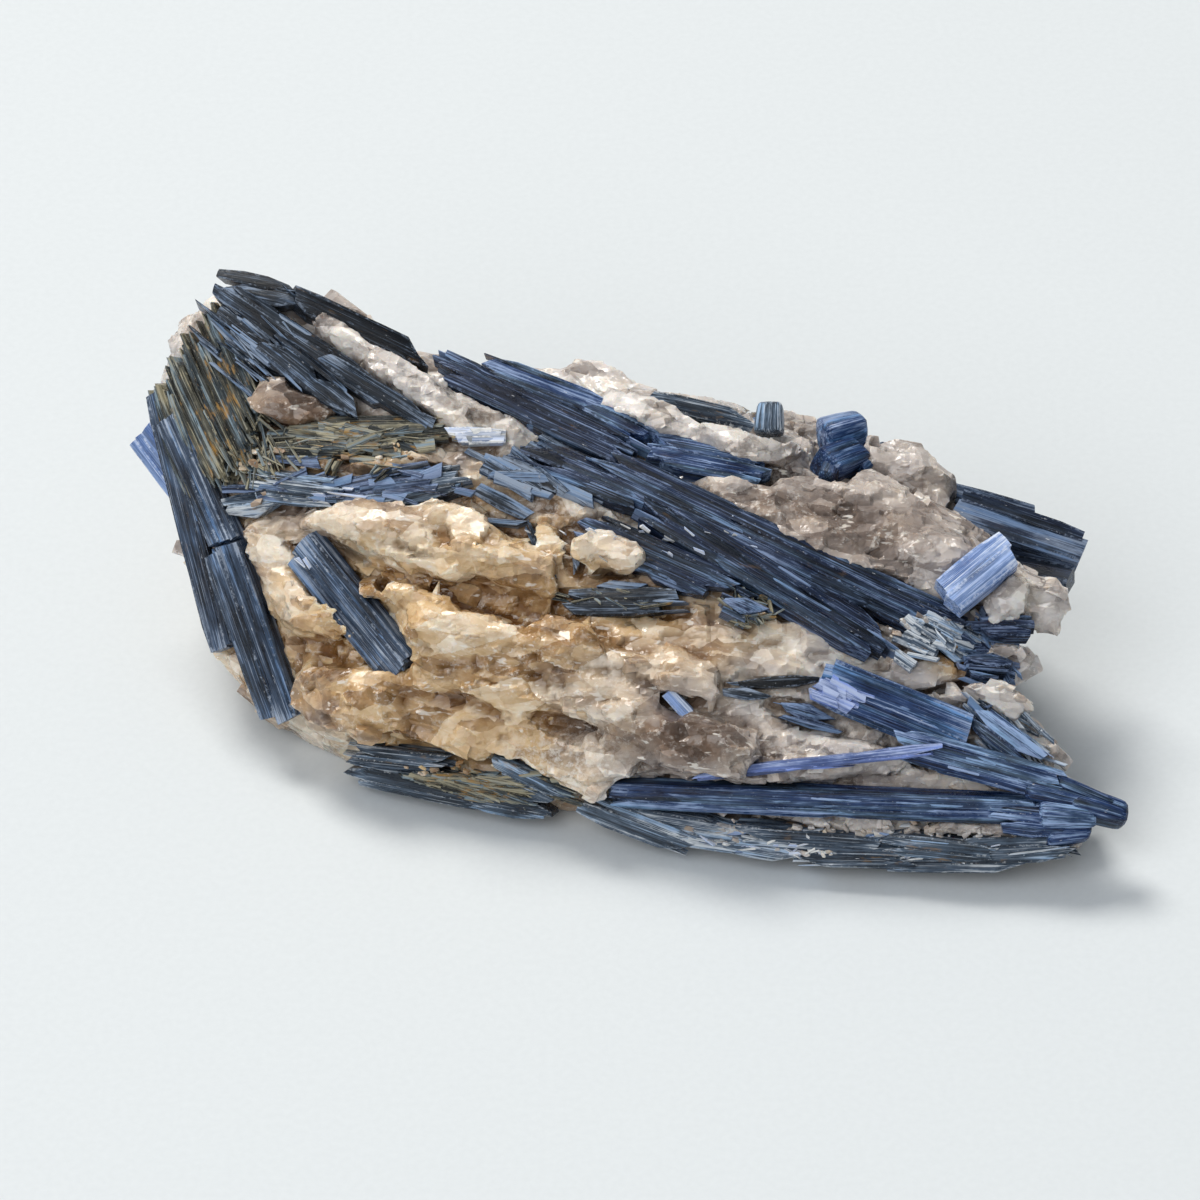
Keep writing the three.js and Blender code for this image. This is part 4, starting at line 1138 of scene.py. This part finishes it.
def plain_lath(lengths):
    bm = bmesh.new()
    bmesh.ops.create_cube(bm, size=1)
    over = [e for e in bm.edges if abs(e.verts[0].co.y - e.verts[1].co.y) > 0.5]
    bmesh.ops.subdivide_edges(bm, edges=over, cuts=1, use_grid_fill=True)
    rims = [e for e in bm.edges if all(v.co.z > 0.4 and abs(v.co.y) > 0.4 for v in e.verts)
            and abs(e.verts[0].co.x - e.verts[1].co.x) > 0.5]
    bmesh.ops.bevel(bm, geom=rims, offset=LATH_EDGE, segments=1, profile=0.5, affect="EDGES", material=-1)
    if lengths > 1:
        lengthwise = [e for e in bm.edges if abs(e.verts[0].co.x - e.verts[1].co.x) > 0.5]
        bmesh.ops.subdivide_edges(bm, edges=lengthwise, cuts=lengths - 1, use_grid_fill=True)
    bmesh.ops.recalc_face_normals(bm, faces=bm.faces)
    return plain_shape(bm)


PLAIN_LATHS = {n: plain_lath(n) for n in range(1, MOST_LENGTHS + 1)}
print("faces of a one-length lath:", len(PLAIN_LATHS[1]["faces"]))

# %% [markdown]
# A lath is bent on to its blade's route point by point. Its sides sway a little, its ends are narrowed
# and cut at a slant, and it gets a low ridge along its middle. The same numbers are kept at every point
# as its place in the blade, for the streaks of the material. A curve with a profile could do the bend,
# but not the ragged ends.

# %% Where a lath lies
LENGTH_STEP = 4.0
PALE_TIP = 7.0
CAMBER = 0.35


def blade_frame(route, facing, width, thickness, roll, dice):
    """What each lath of one blade needs to know about it."""
    along = (route[-1] - route[0]).normalized()
    normal = (facing - along * facing.dot(along)).normalized()
    normal = Matrix.Rotation(math.radians(roll), 3, along) @ normal
    return {"route": route, "length": sum((b - a).length for a, b in zip(route, route[1:])),
            "width": width, "thickness": thickness, "normal": np.array(normal),
            "side": np.array(along.cross(normal)), "shift": np.array([dice.uniform(0, 900) for _ in range(3)])}


def lay_lath(heap, blade, span, across, width, level, tone, dice, point=(0.2, 0.7), skew=0.0):
    """One lath between two shares of the blade's route, across mm off its middle, its top at a level."""
    length = (span[1] - span[0]) * blade["length"]
    lengths = min(MOST_LENGTHS, max(1, round(length / LENGTH_STEP)))
    plain = PLAIN_LATHS[lengths]
    x, y, z = plain["points"][:, 0] + 0.5, plain["points"][:, 1], plain["points"][:, 2]
    station = np.rint(x * lengths).astype(int)
    sway = np.array([dice.gauss(0, 0.03) for _ in range(lengths + 1)])[station]
    swell = np.array([dice.gauss(0, 0.025) for _ in range(lengths + 1)])[station]
    narrow = np.ones(len(x))
    chisel = np.zeros(len(x))
    slant = np.zeros(len(x))
    ragged = 1.1 * (1 - point[0])
    for end in (0, lengths):
        here = station == end
        narrow[here] = dice.uniform(*point)
        chisel[here] = dice.uniform(-0.5, 0.5) * (1 - narrow[here]) * width
        slant[here] = ragged * (dice.uniform(-0.9, 0.9) * y[here] * width + dice.uniform(-0.7, 0.7) * z[here])
    share = span[0] + (span[1] - span[0]) * x + slant / blade["length"]
    half = blade["thickness"] / 2
    over = across + y * width * narrow + chisel + sway + skew * (x - 0.5)
    ridge = dice.uniform(0, 0.09) * width * (np.abs(y) < 0.1) + dice.gauss(0, 0.08) * y * width
    camber = CAMBER * np.abs(over / (blade["width"] / 2)) ** 3 if blade["width"] > 2 else 0.0
    top = half + level + ridge + swell - camber - (0.5 - z) * 0.5 - (1 - narrow) * min(0.6, 0.5 * half)
    height = np.where(z > 0.2, top, -half)
    points = along_route(blade["route"], share)
    points = points + over[:, None] * blade["side"] + height[:, None] * blade["normal"]
    grain_place = np.stack([share * blade["length"], over, height], 1) + blade["shift"]
    from_end = np.minimum(share, 1 - share) * blade["length"]
    # the top rims get edge 1, which the material paints pale as a highlight
    heap.add(points, plain["faces"], grain=grain_place, tone=tone, tip=np.clip(1 - from_end / PALE_TIP, 0, 1),
             edge=np.where((np.abs(y) > 0.3) & (z > 0.2), 1.0, 0.0))


print("laths are laid in lengths of about", LENGTH_STEP, "mm")

# %% [markdown]
# A blade is a row of such laths side by side. The middle ones reach furthest, so that the blade ends in
# a ragged point, and a lath that breaks off on the way runs on under the next. Thin splinters lie on
# top along it, because kyanite sheds them whenever it is touched.

# %% Laying a blade
# two ways a blade can end, as the share of its width that a lath keeps there, and how far its laths stray
POINTED = ((0.2, 0.7), 1.0)
BLUNT = ((0.8, 1.0), 0.35)
LENGTH_BETWEEN_BREAKS = 22
AREA_OF_A_SPLINTER = 12
LAP = 2.2


def lay_blade(heap, route, facing, width, thickness, roll, lath_width, taper, dice):
    blade = blade_frame(route, facing, width, thickness, roll, dice)
    length = blade["length"]
    widths = []
    while sum(widths) < width:
        widths.append(lath_width * dice.uniform(0.4, 1.8))
    widths = [w * width / sum(widths) for w in widths]
    peaks = [dice.uniform(-0.5, 0.5), dice.uniform(-0.5, 0.5)]
    point, frayed = POINTED if taper > 0.5 else BLUNT
    left = -width / 2
    for own in widths:
        across = left + own / 2
        left += own
        off = [abs(across / (width / 2) - peak) * taper * width * 0.6 for peak in peaks]
        start = min(off[0] + dice.uniform(0, 1.2) * frayed, length * 0.3) / length
        end = 1 - min(off[1] + dice.uniform(0, 2.0) * frayed, length * 0.35) / length
        break_count = int(length / LENGTH_BETWEEN_BREAKS * dice.uniform(0, 1.8))
        breaks = sorted(dice.uniform(0.1, 0.9) for _ in range(break_count))
        cuts = [start, *[b for b in breaks if start + 0.1 < b < end - 0.1], end]
        rise = dice.gauss(0, 0.06)
        for i, (a, b) in enumerate(zip(cuts, cuts[1:])):
            a, b = (a if i == 0 else a - LAP / length), (b if b == end else b + LAP / length)
            tone = min(max(dice.gauss(0.46, 0.14), 0.1), 0.9)
            lay_lath(heap, blade, (a, b), across, own * 1.2, rise + dice.gauss(0, 0.04), tone, dice,
                     point, dice.gauss(0, 0.12) * frayed)
    for _ in range(int(length * width / lath_width / AREA_OF_A_SPLINTER)):
        own = lath_width * dice.uniform(0.12, 0.3)
        reach = dice.uniform(3, min(18, length * 0.6)) / length
        begin = dice.uniform(0.0, 1 - reach)
        tone = min(max(dice.gauss(0.7, 0.25), 0), 1)
        across = dice.uniform(-0.46, 0.46) * width
        lay_lath(heap, blade, (begin, begin + reach), across, own, dice.uniform(0, 0.22) - 0.1, tone, dice,
                 point=(0.1, 0.4), skew=dice.gauss(0, 0.5))


def lay_splinter(heap, right, up, lift, heading, length, width, thickness, dice):
    """A loose splinter on the stone, centred at a place in the view and turned to a heading."""
    reach = (math.cos(math.radians(heading)) * length / 2, math.sin(math.radians(heading)) * length / 2)
    route = [on_stone(right - reach[0], up - reach[1], lift + dice.gauss(0, 0.15)),
             on_stone(right + reach[0], up + reach[1], lift + dice.gauss(0, 0.15))]
    blade = blade_frame(route, stone_normal(right, up), width, thickness, dice.gauss(0, 14), dice)
    point = (0.55, 1.0) if width > 1.2 else (0.2, 0.8)
    lay_lath(heap, blade, (0, 1), 0.0, width, 0.0, min(max(dice.gauss(0.55, 0.25), 0), 1), dice, point)


print("blades can be laid")

# %% [markdown]
# A few crystals end in blunt, rounded blocks instead: the knob on the crest, the square end of the rim
# blade and the tip at the right. Such a block is a cube with wide soft bevels, swollen a little and
# narrower at its far end. Blocks that overlap at different leans read as one worn crystal.

# %% A blunt crystal
def plain_block():
    bm = bmesh.new()
    bmesh.ops.create_cube(bm, size=1)
    bmesh.ops.subdivide_edges(bm, edges=bm.edges[:], cuts=1, use_grid_fill=True)
    rims = [e for e in bm.edges if e.calc_face_angle(0) > 1]
    bmesh.ops.bevel(bm, geom=rims, offset=0.14, segments=2, profile=0.5, affect="EDGES", material=-1)
    for v in bm.verts:
        v.co = v.co.lerp(v.co.normalized() * 0.6, 0.22)
    bmesh.ops.recalc_face_normals(bm, faces=bm.faces)
    return plain_shape(bm)


PLAIN_BLOCK = plain_block()
BLOCK_TONES = {"dark block": 0.34, "block": 0.55, "pale block": 0.74}


def lay_block(heap, route, facing, width, thickness, tone, dice):
    blade = blade_frame(route, facing, width, thickness, dice.gauss(0, 14), dice)
    x, y, z = (PLAIN_BLOCK["points"] * (1, width, thickness)).T
    narrow = 1 - dice.uniform(0.12, 0.4) * (x + 0.5)
    lean = dice.gauss(0, 0.16) * width * x
    slant = dice.uniform(-0.25, 0.25) * y / width + dice.uniform(-0.2, 0.2) * z / thickness
    share = x + 0.5 + slant * (width / blade["length"])
    points = along_route(route, share)
    points = points + (y * narrow + lean)[:, None] * blade["side"] + (z * narrow)[:, None] * blade["normal"]
    grain_place = np.stack([share * blade["length"], y, z], 1) + blade["shift"]
    heap.add(points, PLAIN_BLOCK["faces"], grain=grain_place, tone=tone + dice.gauss(0, 0.04), tip=0.0, edge=0.0)


print("faces of a block:", len(PLAIN_BLOCK["faces"]))

# %% [markdown]
# The colour of kyanite runs in streaks along the lath: near black where it is thick, blue in the middle
# and pale where thin layers have come apart. Every lath carries its own length, width and height in
# millimetres, and the patterns read those, so that a streak follows its lath even round a bend.

# %% Kyanite: its kinds
KYANITES = {
    # deep, body, pale, second hue, width of a lath in mm, how pointed a blade ends, iron stain, streaks
    # thick bundles of the crest, near black with a grey sheen
    "dusky": ("#0A0E15", "#29333F", "#8A98AC", "#2E3A4A", 2.6, 1.3, 0.2, 0.9),
    # the long bundle, deep blue with fine pale streaks
    "navy": ("#0A1020", "#23324F", "#7C8EB0", "#2C3A4C", 1.6, 1.3, 0.12, 1.0),
    # the wide single blades, smooth and satin grey-blue
    "slate": ("#151B26", "#3F4F66", "#A8B3C4", "#34465E", 3.0, 0.25, 0.14, 0.9),
    # the far and lower blades, a clear strong blue
    "blue": ("#0E1732", "#28426F", "#96ABD0", "#3A4C60", 1.6, 0.8, 0.04, 0.9),
    # broad fresh faces that shine, with few streaks
    "glossy": ("#0D1630", "#2C4674", "#98AACA", "#2C4462", 3.4, 0.4, 0.02, 0.8),
    # the prisms at the right, dark and smooth
    "inky": ("#0A101E", "#1F2C44", "#7A889E", "#2C3A4E", 3.2, 0.4, 0.02, 0.7),
    # bars and bundles split so fine that the light scatters in them
    "steel": ("#1F2936", "#536376", "#CCD2D8", "#4A5A6C", 1.6, 1.2, 0.35, 1.1),
    # weathered fans, with iron gold between thin laths
    "olive": ("#1A1B18", "#4C4B42", "#A19A82", "#48545C", 0.7, 1.6, 0.62, 1.1),
    # thin blades that let the light through
    "pale": ("#38568E", "#6F8DC4", "#D2DDF0", "#7890BC", 3.6, 0.1, 0.0, 1.0),
    "violet": ("#2A3A68", "#5E72A6", "#B4C2E4", "#56689C", 0.8, 0.8, 0.0, 0.8),
    # split ends and loose flakes, almost clear
    "glassy": ("#7C8288", "#B4B7BA", "#ECECEA", "#8A98B4", 1.8, 0.2, 0.1, 1.0),
}
IRON_GOLD = "#A07A40"
QUARTZ_DUST = "#DDE0E6"
print("kyanite kinds:", ", ".join(KYANITES))

# %% [markdown]
# One recipe makes all the kinds. Three sizes of streaks shift a lath's own tone up and down, and a ramp
# from deep over body to pale turns it into a colour. Five covers follow, each where its own pattern is
# strong: a second hue, pale lines, pale rims (a painted highlight along the top edges of the laths,
# together with the pale worn tips), iron gold and white dust. The iron gathers in patches of the whole
# stone, because water brought it there. Weathered kyanite mirrors little of the sky, so the specular
# level is low.

# %% Kyanite: the material
RUST_PATCH = 6.67
STREAK_HEIGHT = 0.35 * MM


def kyanite_material(name, deep, body, pale, second, stain, streaky):
    # natural kyanite, cleaved and weathered: satin along the lath, deep where it is thick, pale where it splits
    material, tree, surface = new_material(name + "_kyanite")
    grain, tone, edge, tip = (
        add_node(tree, "ShaderNodeAttribute", {"attribute_name": name}).outputs[kind]
        for name, kind in (("grain", "Vector"), ("tone", "Fac"), ("edge", "Fac"), ("tip", "Fac"))
    )

    def streaks(stretch, detail=3.0, place=(0.0, 0.0, 0.0)):
        """A noise per mm of the blade's own length, width and height, stretched along it."""
        turned = add_node(tree, "ShaderNodeMapping", in0=grain, Scale=stretch, Location=place).outputs[0]
        return add_node(tree, "ShaderNodeTexNoise", in0=turned, Scale=1.0, Detail=detail, Roughness=0.65).outputs[0]

    wide = streaks((0.05, 1.3, 1.0))
    thin = streaks((0.07, 5.0, 3.0))
    blotches = streaks((0.14, 0.4, 0.4), 4.0)
    hue = streaks((0.04, 0.7, 0.6), 2.0, (9.0, 3.0, 70.0))
    dust = streaks((0.7, 3.2, 3.0), 3.0, (5.0, 50.0, 9.0))
    mixed = add_node(tree, "ShaderNodeMath", {"operation": "MULTIPLY_ADD"}, in0=tip, in1=0.3, in2=tone).outputs[0]
    for part, weight in ((wide, 1.7 * streaky), (thin, 1.8 * streaky), (blotches, 1.5)):
        part = add_node(tree, "ShaderNodeMath", {"operation": "SUBTRACT"}, in0=part, in1=0.5).outputs[0]
        mixed = add_node(tree, "ShaderNodeMath", {"operation": "MULTIPLY_ADD"}, in0=part, in1=weight, in2=mixed)
        mixed = mixed.outputs[0]
    patchiness = add_node(tree, "ShaderNodeTexNoise", in0=grain, Scale=1.5, Detail=4.0, Roughness=0.7).outputs[0]
    # painted highlight: pale along the laths' top rims, together with the real pale worn tips, broken up by a noise
    rim_highlight_and_pale_tips = add_node(tree, "ShaderNodeMath", {"operation": "MULTIPLY_ADD"}, in0=tip, in1=0.3, in2=edge).outputs[0]
    rim_highlight_and_pale_tips = add_node(tree, "ShaderNodeMath", {"operation": "MULTIPLY"}, in0=rim_highlight_and_pale_tips, in1=patchiness).outputs[0]
    coords = add_node(tree, "ShaderNodeTexCoord").outputs["Object"]
    where = add_node(tree, "ShaderNodeTexNoise", in0=coords, Scale=per(RUST_PATCH), Detail=3.0).outputs[0]
    where = add_node(tree, "ShaderNodeMath", {"operation": "SUBTRACT"}, in0=where, in1=0.52).outputs[0]
    rust = streaks((0.3, 1.3, 1.0), 4.0, (31.0, 7.0, 3.0))
    rust = add_node(tree, "ShaderNodeMath", {"operation": "MULTIPLY_ADD"}, in0=where, in1=0.6, in2=rust).outputs[0]

    colour = set_ramp(
        add_node(tree, "ShaderNodeValToRGB", in0=mixed),
        [(0.15, linear(deep)), (0.62, linear(body)), (1.0, linear(pale))],
    ).outputs[0]
    covers = [
        # colour, its pattern, where that begins to show and shows fully, how much it then covers, blend
        (second, hue, 0.44, 0.6, 1.0, "COLOR"),
        (pale, thin, 0.58, 0.7, 0.55, "MIX"),
        # pale rims: a painted highlight on the laths' top edges, and the pale worn tips
        (pale, rim_highlight_and_pale_tips, 0.54, 0.7, 0.65, "MIX"),
        (IRON_GOLD, rust, 0.68 - 0.16 * stain, 0.8 - 0.16 * stain, min(1.0, stain * 1.4), "MIX"),
        (QUARTZ_DUST, dust, 0.69, 0.74, 0.75, "MIX"),
    ]
    for cover, pattern, begins, full, most, blend in covers:
        share = add_node(tree, "ShaderNodeMapRange", in0=pattern, in1=begins, in2=full, in3=0.0, in4=most).outputs[0]
        colour = add_node(tree, "ShaderNodeMix", {"data_type": "RGBA", "blend_type": blend},
                          in0=share, in6=colour, in7=linear(cover)).outputs[2]
    tree.links.new(colour, surface.inputs["Base Color"])

    gloss = add_node(tree, "ShaderNodeMapRange", in0=blotches, in1=0.35, in2=0.65, in3=0.2, in4=0.42)
    tree.links.new(gloss.outputs[0], surface.inputs["Roughness"])
    surface.inputs["IOR"].default_value = 1.72
    surface.inputs["Specular IOR Level"].default_value = 0.16
    ridges = add_node(tree, "ShaderNodeMath", {"operation": "ADD"}, in0=wide, in1=thin).outputs[0]
    bump = add_node(tree, "ShaderNodeBump", Strength=0.55 * streaky, Distance=STREAK_HEIGHT, Height=ridges)
    tree.links.new(bump.outputs[0], surface.inputs["Normal"])
    return material


MATERIALS = {name: kyanite_material(name, *facts[:4], *facts[6:]) for name, facts in KYANITES.items()}
print("materials:", len(MATERIALS))

# %% [markdown]
# Now the blades are laid, one object for each spray, and each takes the place of its plain solid. The
# block ends of the worn crystals go in the same object as the laths they belong to.

# %% Kyanite: the sprays
SLOTS = {kind: "kyanite_blue" for kind in ("dusky", "navy", "slate", "blue", "glossy", "inky")}
SLOTS |= {"steel": "kyanite_green", "olive": "kyanite_green"}
SLOTS |= {"pale": "kyanite_pale", "violet": "kyanite_pale", "glassy": "kyanite_pale"}
LATH_EDGE_ANGLE = 30


def dress(heap, name, kind, node):
    made = heap.make(name, MATERIALS[kind], LATH_EDGE_ANGLE)
    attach(made, "root")
    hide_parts(node)
    return made


def make_spray(name, kind, rows, seed):
    dice = random.Random(seed)
    heap = Heap()
    lath_width, taper = KYANITES[kind][4:6]
    for start, end, width, thickness, turn in rows:
        if isinstance(turn, tuple):
            route, facing, roll = [Vector(start), Vector(end)], Vector(turn), 0
        else:
            route, roll = route_of(start, end), turn
            facing = stone_normal((start[0] + end[0]) / 2, (start[1] + end[1]) / 2)
        if turn in BLOCK_TONES:
            lay_block(heap, route, facing, width, thickness, BLOCK_TONES[turn], dice)
        else:
            lay_blade(heap, route, facing, width, thickness, roll, lath_width, taper, dice)
    return dress(heap, name + "_laths", kind, name)


ALL_SPRAYS = {**SPRAYS, **FAR_SPRAYS}
laths = [make_spray(name, kind, rows, i) for i, (name, (kind, rows)) in enumerate(ALL_SPRAYS.items())]
print("laths' faces:", sum(len(o.data.polygons) for o in laths))

# %% [markdown]
# Round the blades lie loose splinters. They fill the corner under the fan, fray the lower edge of the
# stone and stand in the notch. Each patch of them has a middle and a reach, a heading, and how far the
# splinters stray from it.

# %% Kyanite: loose splinters
SPLINTER_PATCHES = [
    # name, kind, node, right, up, reach right, reach up, count, heading, stray, longest, widest, lift
    ("fan_fibres", "olive", "fan_spray", -58.6, 28.4, 4.0, 8.0, 200, -64, 3, 9, 0.7, 1.35),
    ("fan_corner_splinters", "olive", "fan_spray", -50.5, 21, 4, 5, 60, -62, 26, 5, 0.8, 1.5),
    ("bar_splinters", "olive", "olive_bar", -37, 23.6, 11, 2.0, 34, -2, 10, 7, 2.6, 1.1),
    ("bar_fibres", "olive", "olive_bar", -38, 23.5, 11, 2.4, 50, -2, 10, 6, 0.6, 1.5),
    ("bar_end_pieces", "glassy", "olive_bar", -18.4, 24.6, 1.6, 1.0, 8, 1, 3, 7.5, 2.8, 1.6),
    ("bar_blue_splinters", "navy", "steel_bar", -38, 17, 13, 2.6, 38, 3, 11, 9, 2.0, 1.4),
    ("bar_glassy_pieces", "glassy", "steel_bar", -42.5, 16, 4, 1.4, 9, -4, 8, 7, 1.6, 1.6),
    ("crest_splinters", "dusky", "crest_spray", -52, 38, 5, 4, 40, -41, 5, 9, 0.8, 1.9),
    ("spray_root_splinters", "dusky", "long_spray", -8, 18, 8, 3.6, 30, -24, 7, 11, 2.6, 1.2),
    ("spray_tip_splinters", "steel", "long_spray", 51, -5.8, 6, 2.4, 40, -27, 7, 7, 2.0, 2.3),
    ("ragged_end_splinters", "olive", "ragged_blade", 22, -1, 3, 2, 60, -35, 40, 3.5, 0.6, 2.2),
    ("notch_splinters", "navy", "notch_blades", 58, -9, 3.4, 5, 50, -25, 30, 6, 1.4, 2.6),
    ("rim_splinters", "steel", "lower_spray", 60, -20, 5, 5, 60, -42, 14, 7, 0.9, 2.2),
    ("bottom_splinters", "steel", "bottom_bundle", 34, -36.8, 28, 1.6, 380, -3, 14, 6, 1.0, 1.7),
    ("bottom_blue_splinters", "blue", "bottom_bundle", 30, -36.2, 28, 1.4, 110, 2, 8, 7, 1.1, 1.8),
    ("bottom_left_splinters", "olive", "bottom_left_blades", -22, -28.2, 12, 1.7, 320, -12, 8, 8, 1.0, 1.8),
    ("dark_bar_splinters", "olive", "dark_bar", 2, 0, 7, 1.6, 24, -3, 22, 5, 0.9, 1.4),
    ("bottom_flecks", "glassy", "bottom_bundle", 32, -36.8, 28, 1.6, 130, -3, 24, 2.6, 0.9, 2.5),
    ("spray_flecks", "glassy", "long_spray", 20, 9.4, 24, 3.0, 40, -26, 10, 1.7, 0.4, 3.2),
    ("violet_blade_flakes", "violet", "violet_blade", 35.6, -13.4, 2.6, 1.2, 12, -21, 5, 7, 2.6, 2.8),
    ("inset_end_flakes", "glassy", "inset_blade", -43.4, 7.0, 1.6, 1.2, 10, -50, 8, 4, 1.8, 2.6),
]


# a splinter is laid only where its ends are this near the quartz, in mm
MOST_OFF = {"fan_spray": 2.4, "lower_spray": 2.3, "notch_blades": 2.3}
MOST_OFF_ELSEWHERE = 3.4


def strew(name, kind, node, right, up, wide, tall, count, heading, stray, longest, widest, lift, seed):
    dice = random.Random(seed)
    heap = Heap()
    for _ in range(count):
        place = right + dice.gauss(0, 0.55) * wide, up + dice.gauss(0, 0.55) * tall
        size = dice.uniform(0.3, 1) * longest, dice.uniform(0.4, 1) * widest
        turned = heading + dice.gauss(0, stray)
        reach = math.cos(math.radians(turned)) * size[0] / 2, math.sin(math.radians(turned)) * size[0] / 2
        ends = [on_stone(place[0] + way * reach[0], place[1] + way * reach[1]) for way in (-1, 1)]
        if all(skin_tree.find(end)[2] < MOST_OFF.get(node, MOST_OFF_ELSEWHERE) for end in ends):
            lay_splinter(heap, *place, lift + dice.uniform(-0.45, 0.1), turned, *size, 1.0, dice)
    print(name, "laid:", len(heap.points), "of", count)
    return dress(heap, name, kind, node) if heap.points else None


loose = [strew(*row, seed) for seed, row in enumerate(SPLINTER_PATCHES, 70)]
print("splinters' faces:", sum(len(o.data.polygons) for o in loose if o))

# %% [markdown]
# Small loose pieces stay sharper than the melted body: splinters and chips that sit in its steps. Each
# carries its own shade, and the zones of colour reach over them too.

# %% Quartz: splinters and chips
SMALL_SIZES = [
    # name, plain lumps, spacing in mm, length, width, thickness, share that stands out, clearance
    ("splinters", SMALL_LUMPS, 5.0, (4, 9), (2.4, 4.6), (2.2, 3.2), 0.02, 0.6),
    ("chips", SMALL_LUMPS, 3.6, (1.4, 3.8), (1.0, 2.2), (1.0, 1.7), 0.06, 0.3),
]


def dress_lumps(lumps, name, seed):
    dice = random.Random(seed)
    heap = Heap()
    for shape, own in lumps:
        # the loose pieces get no painted crevice shade
        heap.add(own, shape["faces"], edge=0.0, tone=min(max(dice.gauss(0.5, 0.12), 0.1), 0.9), sunk=0.0,
                 smoke=zone(own, SMOKE), frost=zone(own, FROST), stain=zone(own, STAINS) + dice.gauss(0, 0.15))
    made = heap.make(name, quartz_material, 24)
    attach(made, "root")
    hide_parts("quartz_matrix")
    print(name, "has", len(made.data.polygons), "faces")


for seed, (name, *facts) in enumerate(SMALL_SIZES, 41):
    dress_lumps(strewn_lumps(*facts, seed), "quartz_" + name, seed)

# %% [markdown]
# Small quartz grains also cling to the kyanite: among the bars at the left, at the tips of the long
# spray and all along the lower edge, where they show as pale flecks between the blue.

# %% Quartz: grains on the kyanite
GRAIN_PATCHES = [
    # right, up, reach right, reach up, count, largest, lift
    (-37, 21, 13, 4, 20, 1.6, 1.6),
    (-51, 21, 4, 4, 14, 2.2, 1.7),
    (50, -4, 7, 3.4, 34, 1.7, 2.6),
    (46.5, -16, 3.4, 1.8, 14, 1.7, 2.4),
    (30, -35.4, 28, 2.0, 170, 2.2, 2.1),
    (32, -37.0, 28, 1.4, 110, 1.5, 2.7),
    (-24, -26, 11, 1.6, 40, 1.5, 1.5),
    (3, 19, 9, 4, 20, 1.0, 1.8),
    (57.5, -18, 3, 5, 20, 1.6, 2.2),
]

grains = []
dice = random.Random(60)
for right, up, wide, tall, count, largest, lift in GRAIN_PATCHES:
    for _ in range(count):
        spot = right + dice.gauss(0, 0.55) * wide, up + dice.gauss(0, 0.55) * tall
        place = on_stone(*spot, lift + dice.uniform(-0.5, 0.2))
        length = dice.uniform(0.3, 1) * largest
        normal = stone_normal(*spot)
        ahead = Matrix.Rotation(dice.gauss(0, 0.5), 3, normal) @ (grain - normal * grain.dot(normal)).normalized()
        if skin_tree.find(on_stone(*spot))[2] < 3:
            shape = dice.choice(SMALL_LUMPS)
            size = length, length * 0.6, length * 0.5
            grains.append((shape, lump_points(shape, place, ahead, normal, size, 0.2, dice)))
dress_lumps(grains, "quartz_grains", 61)
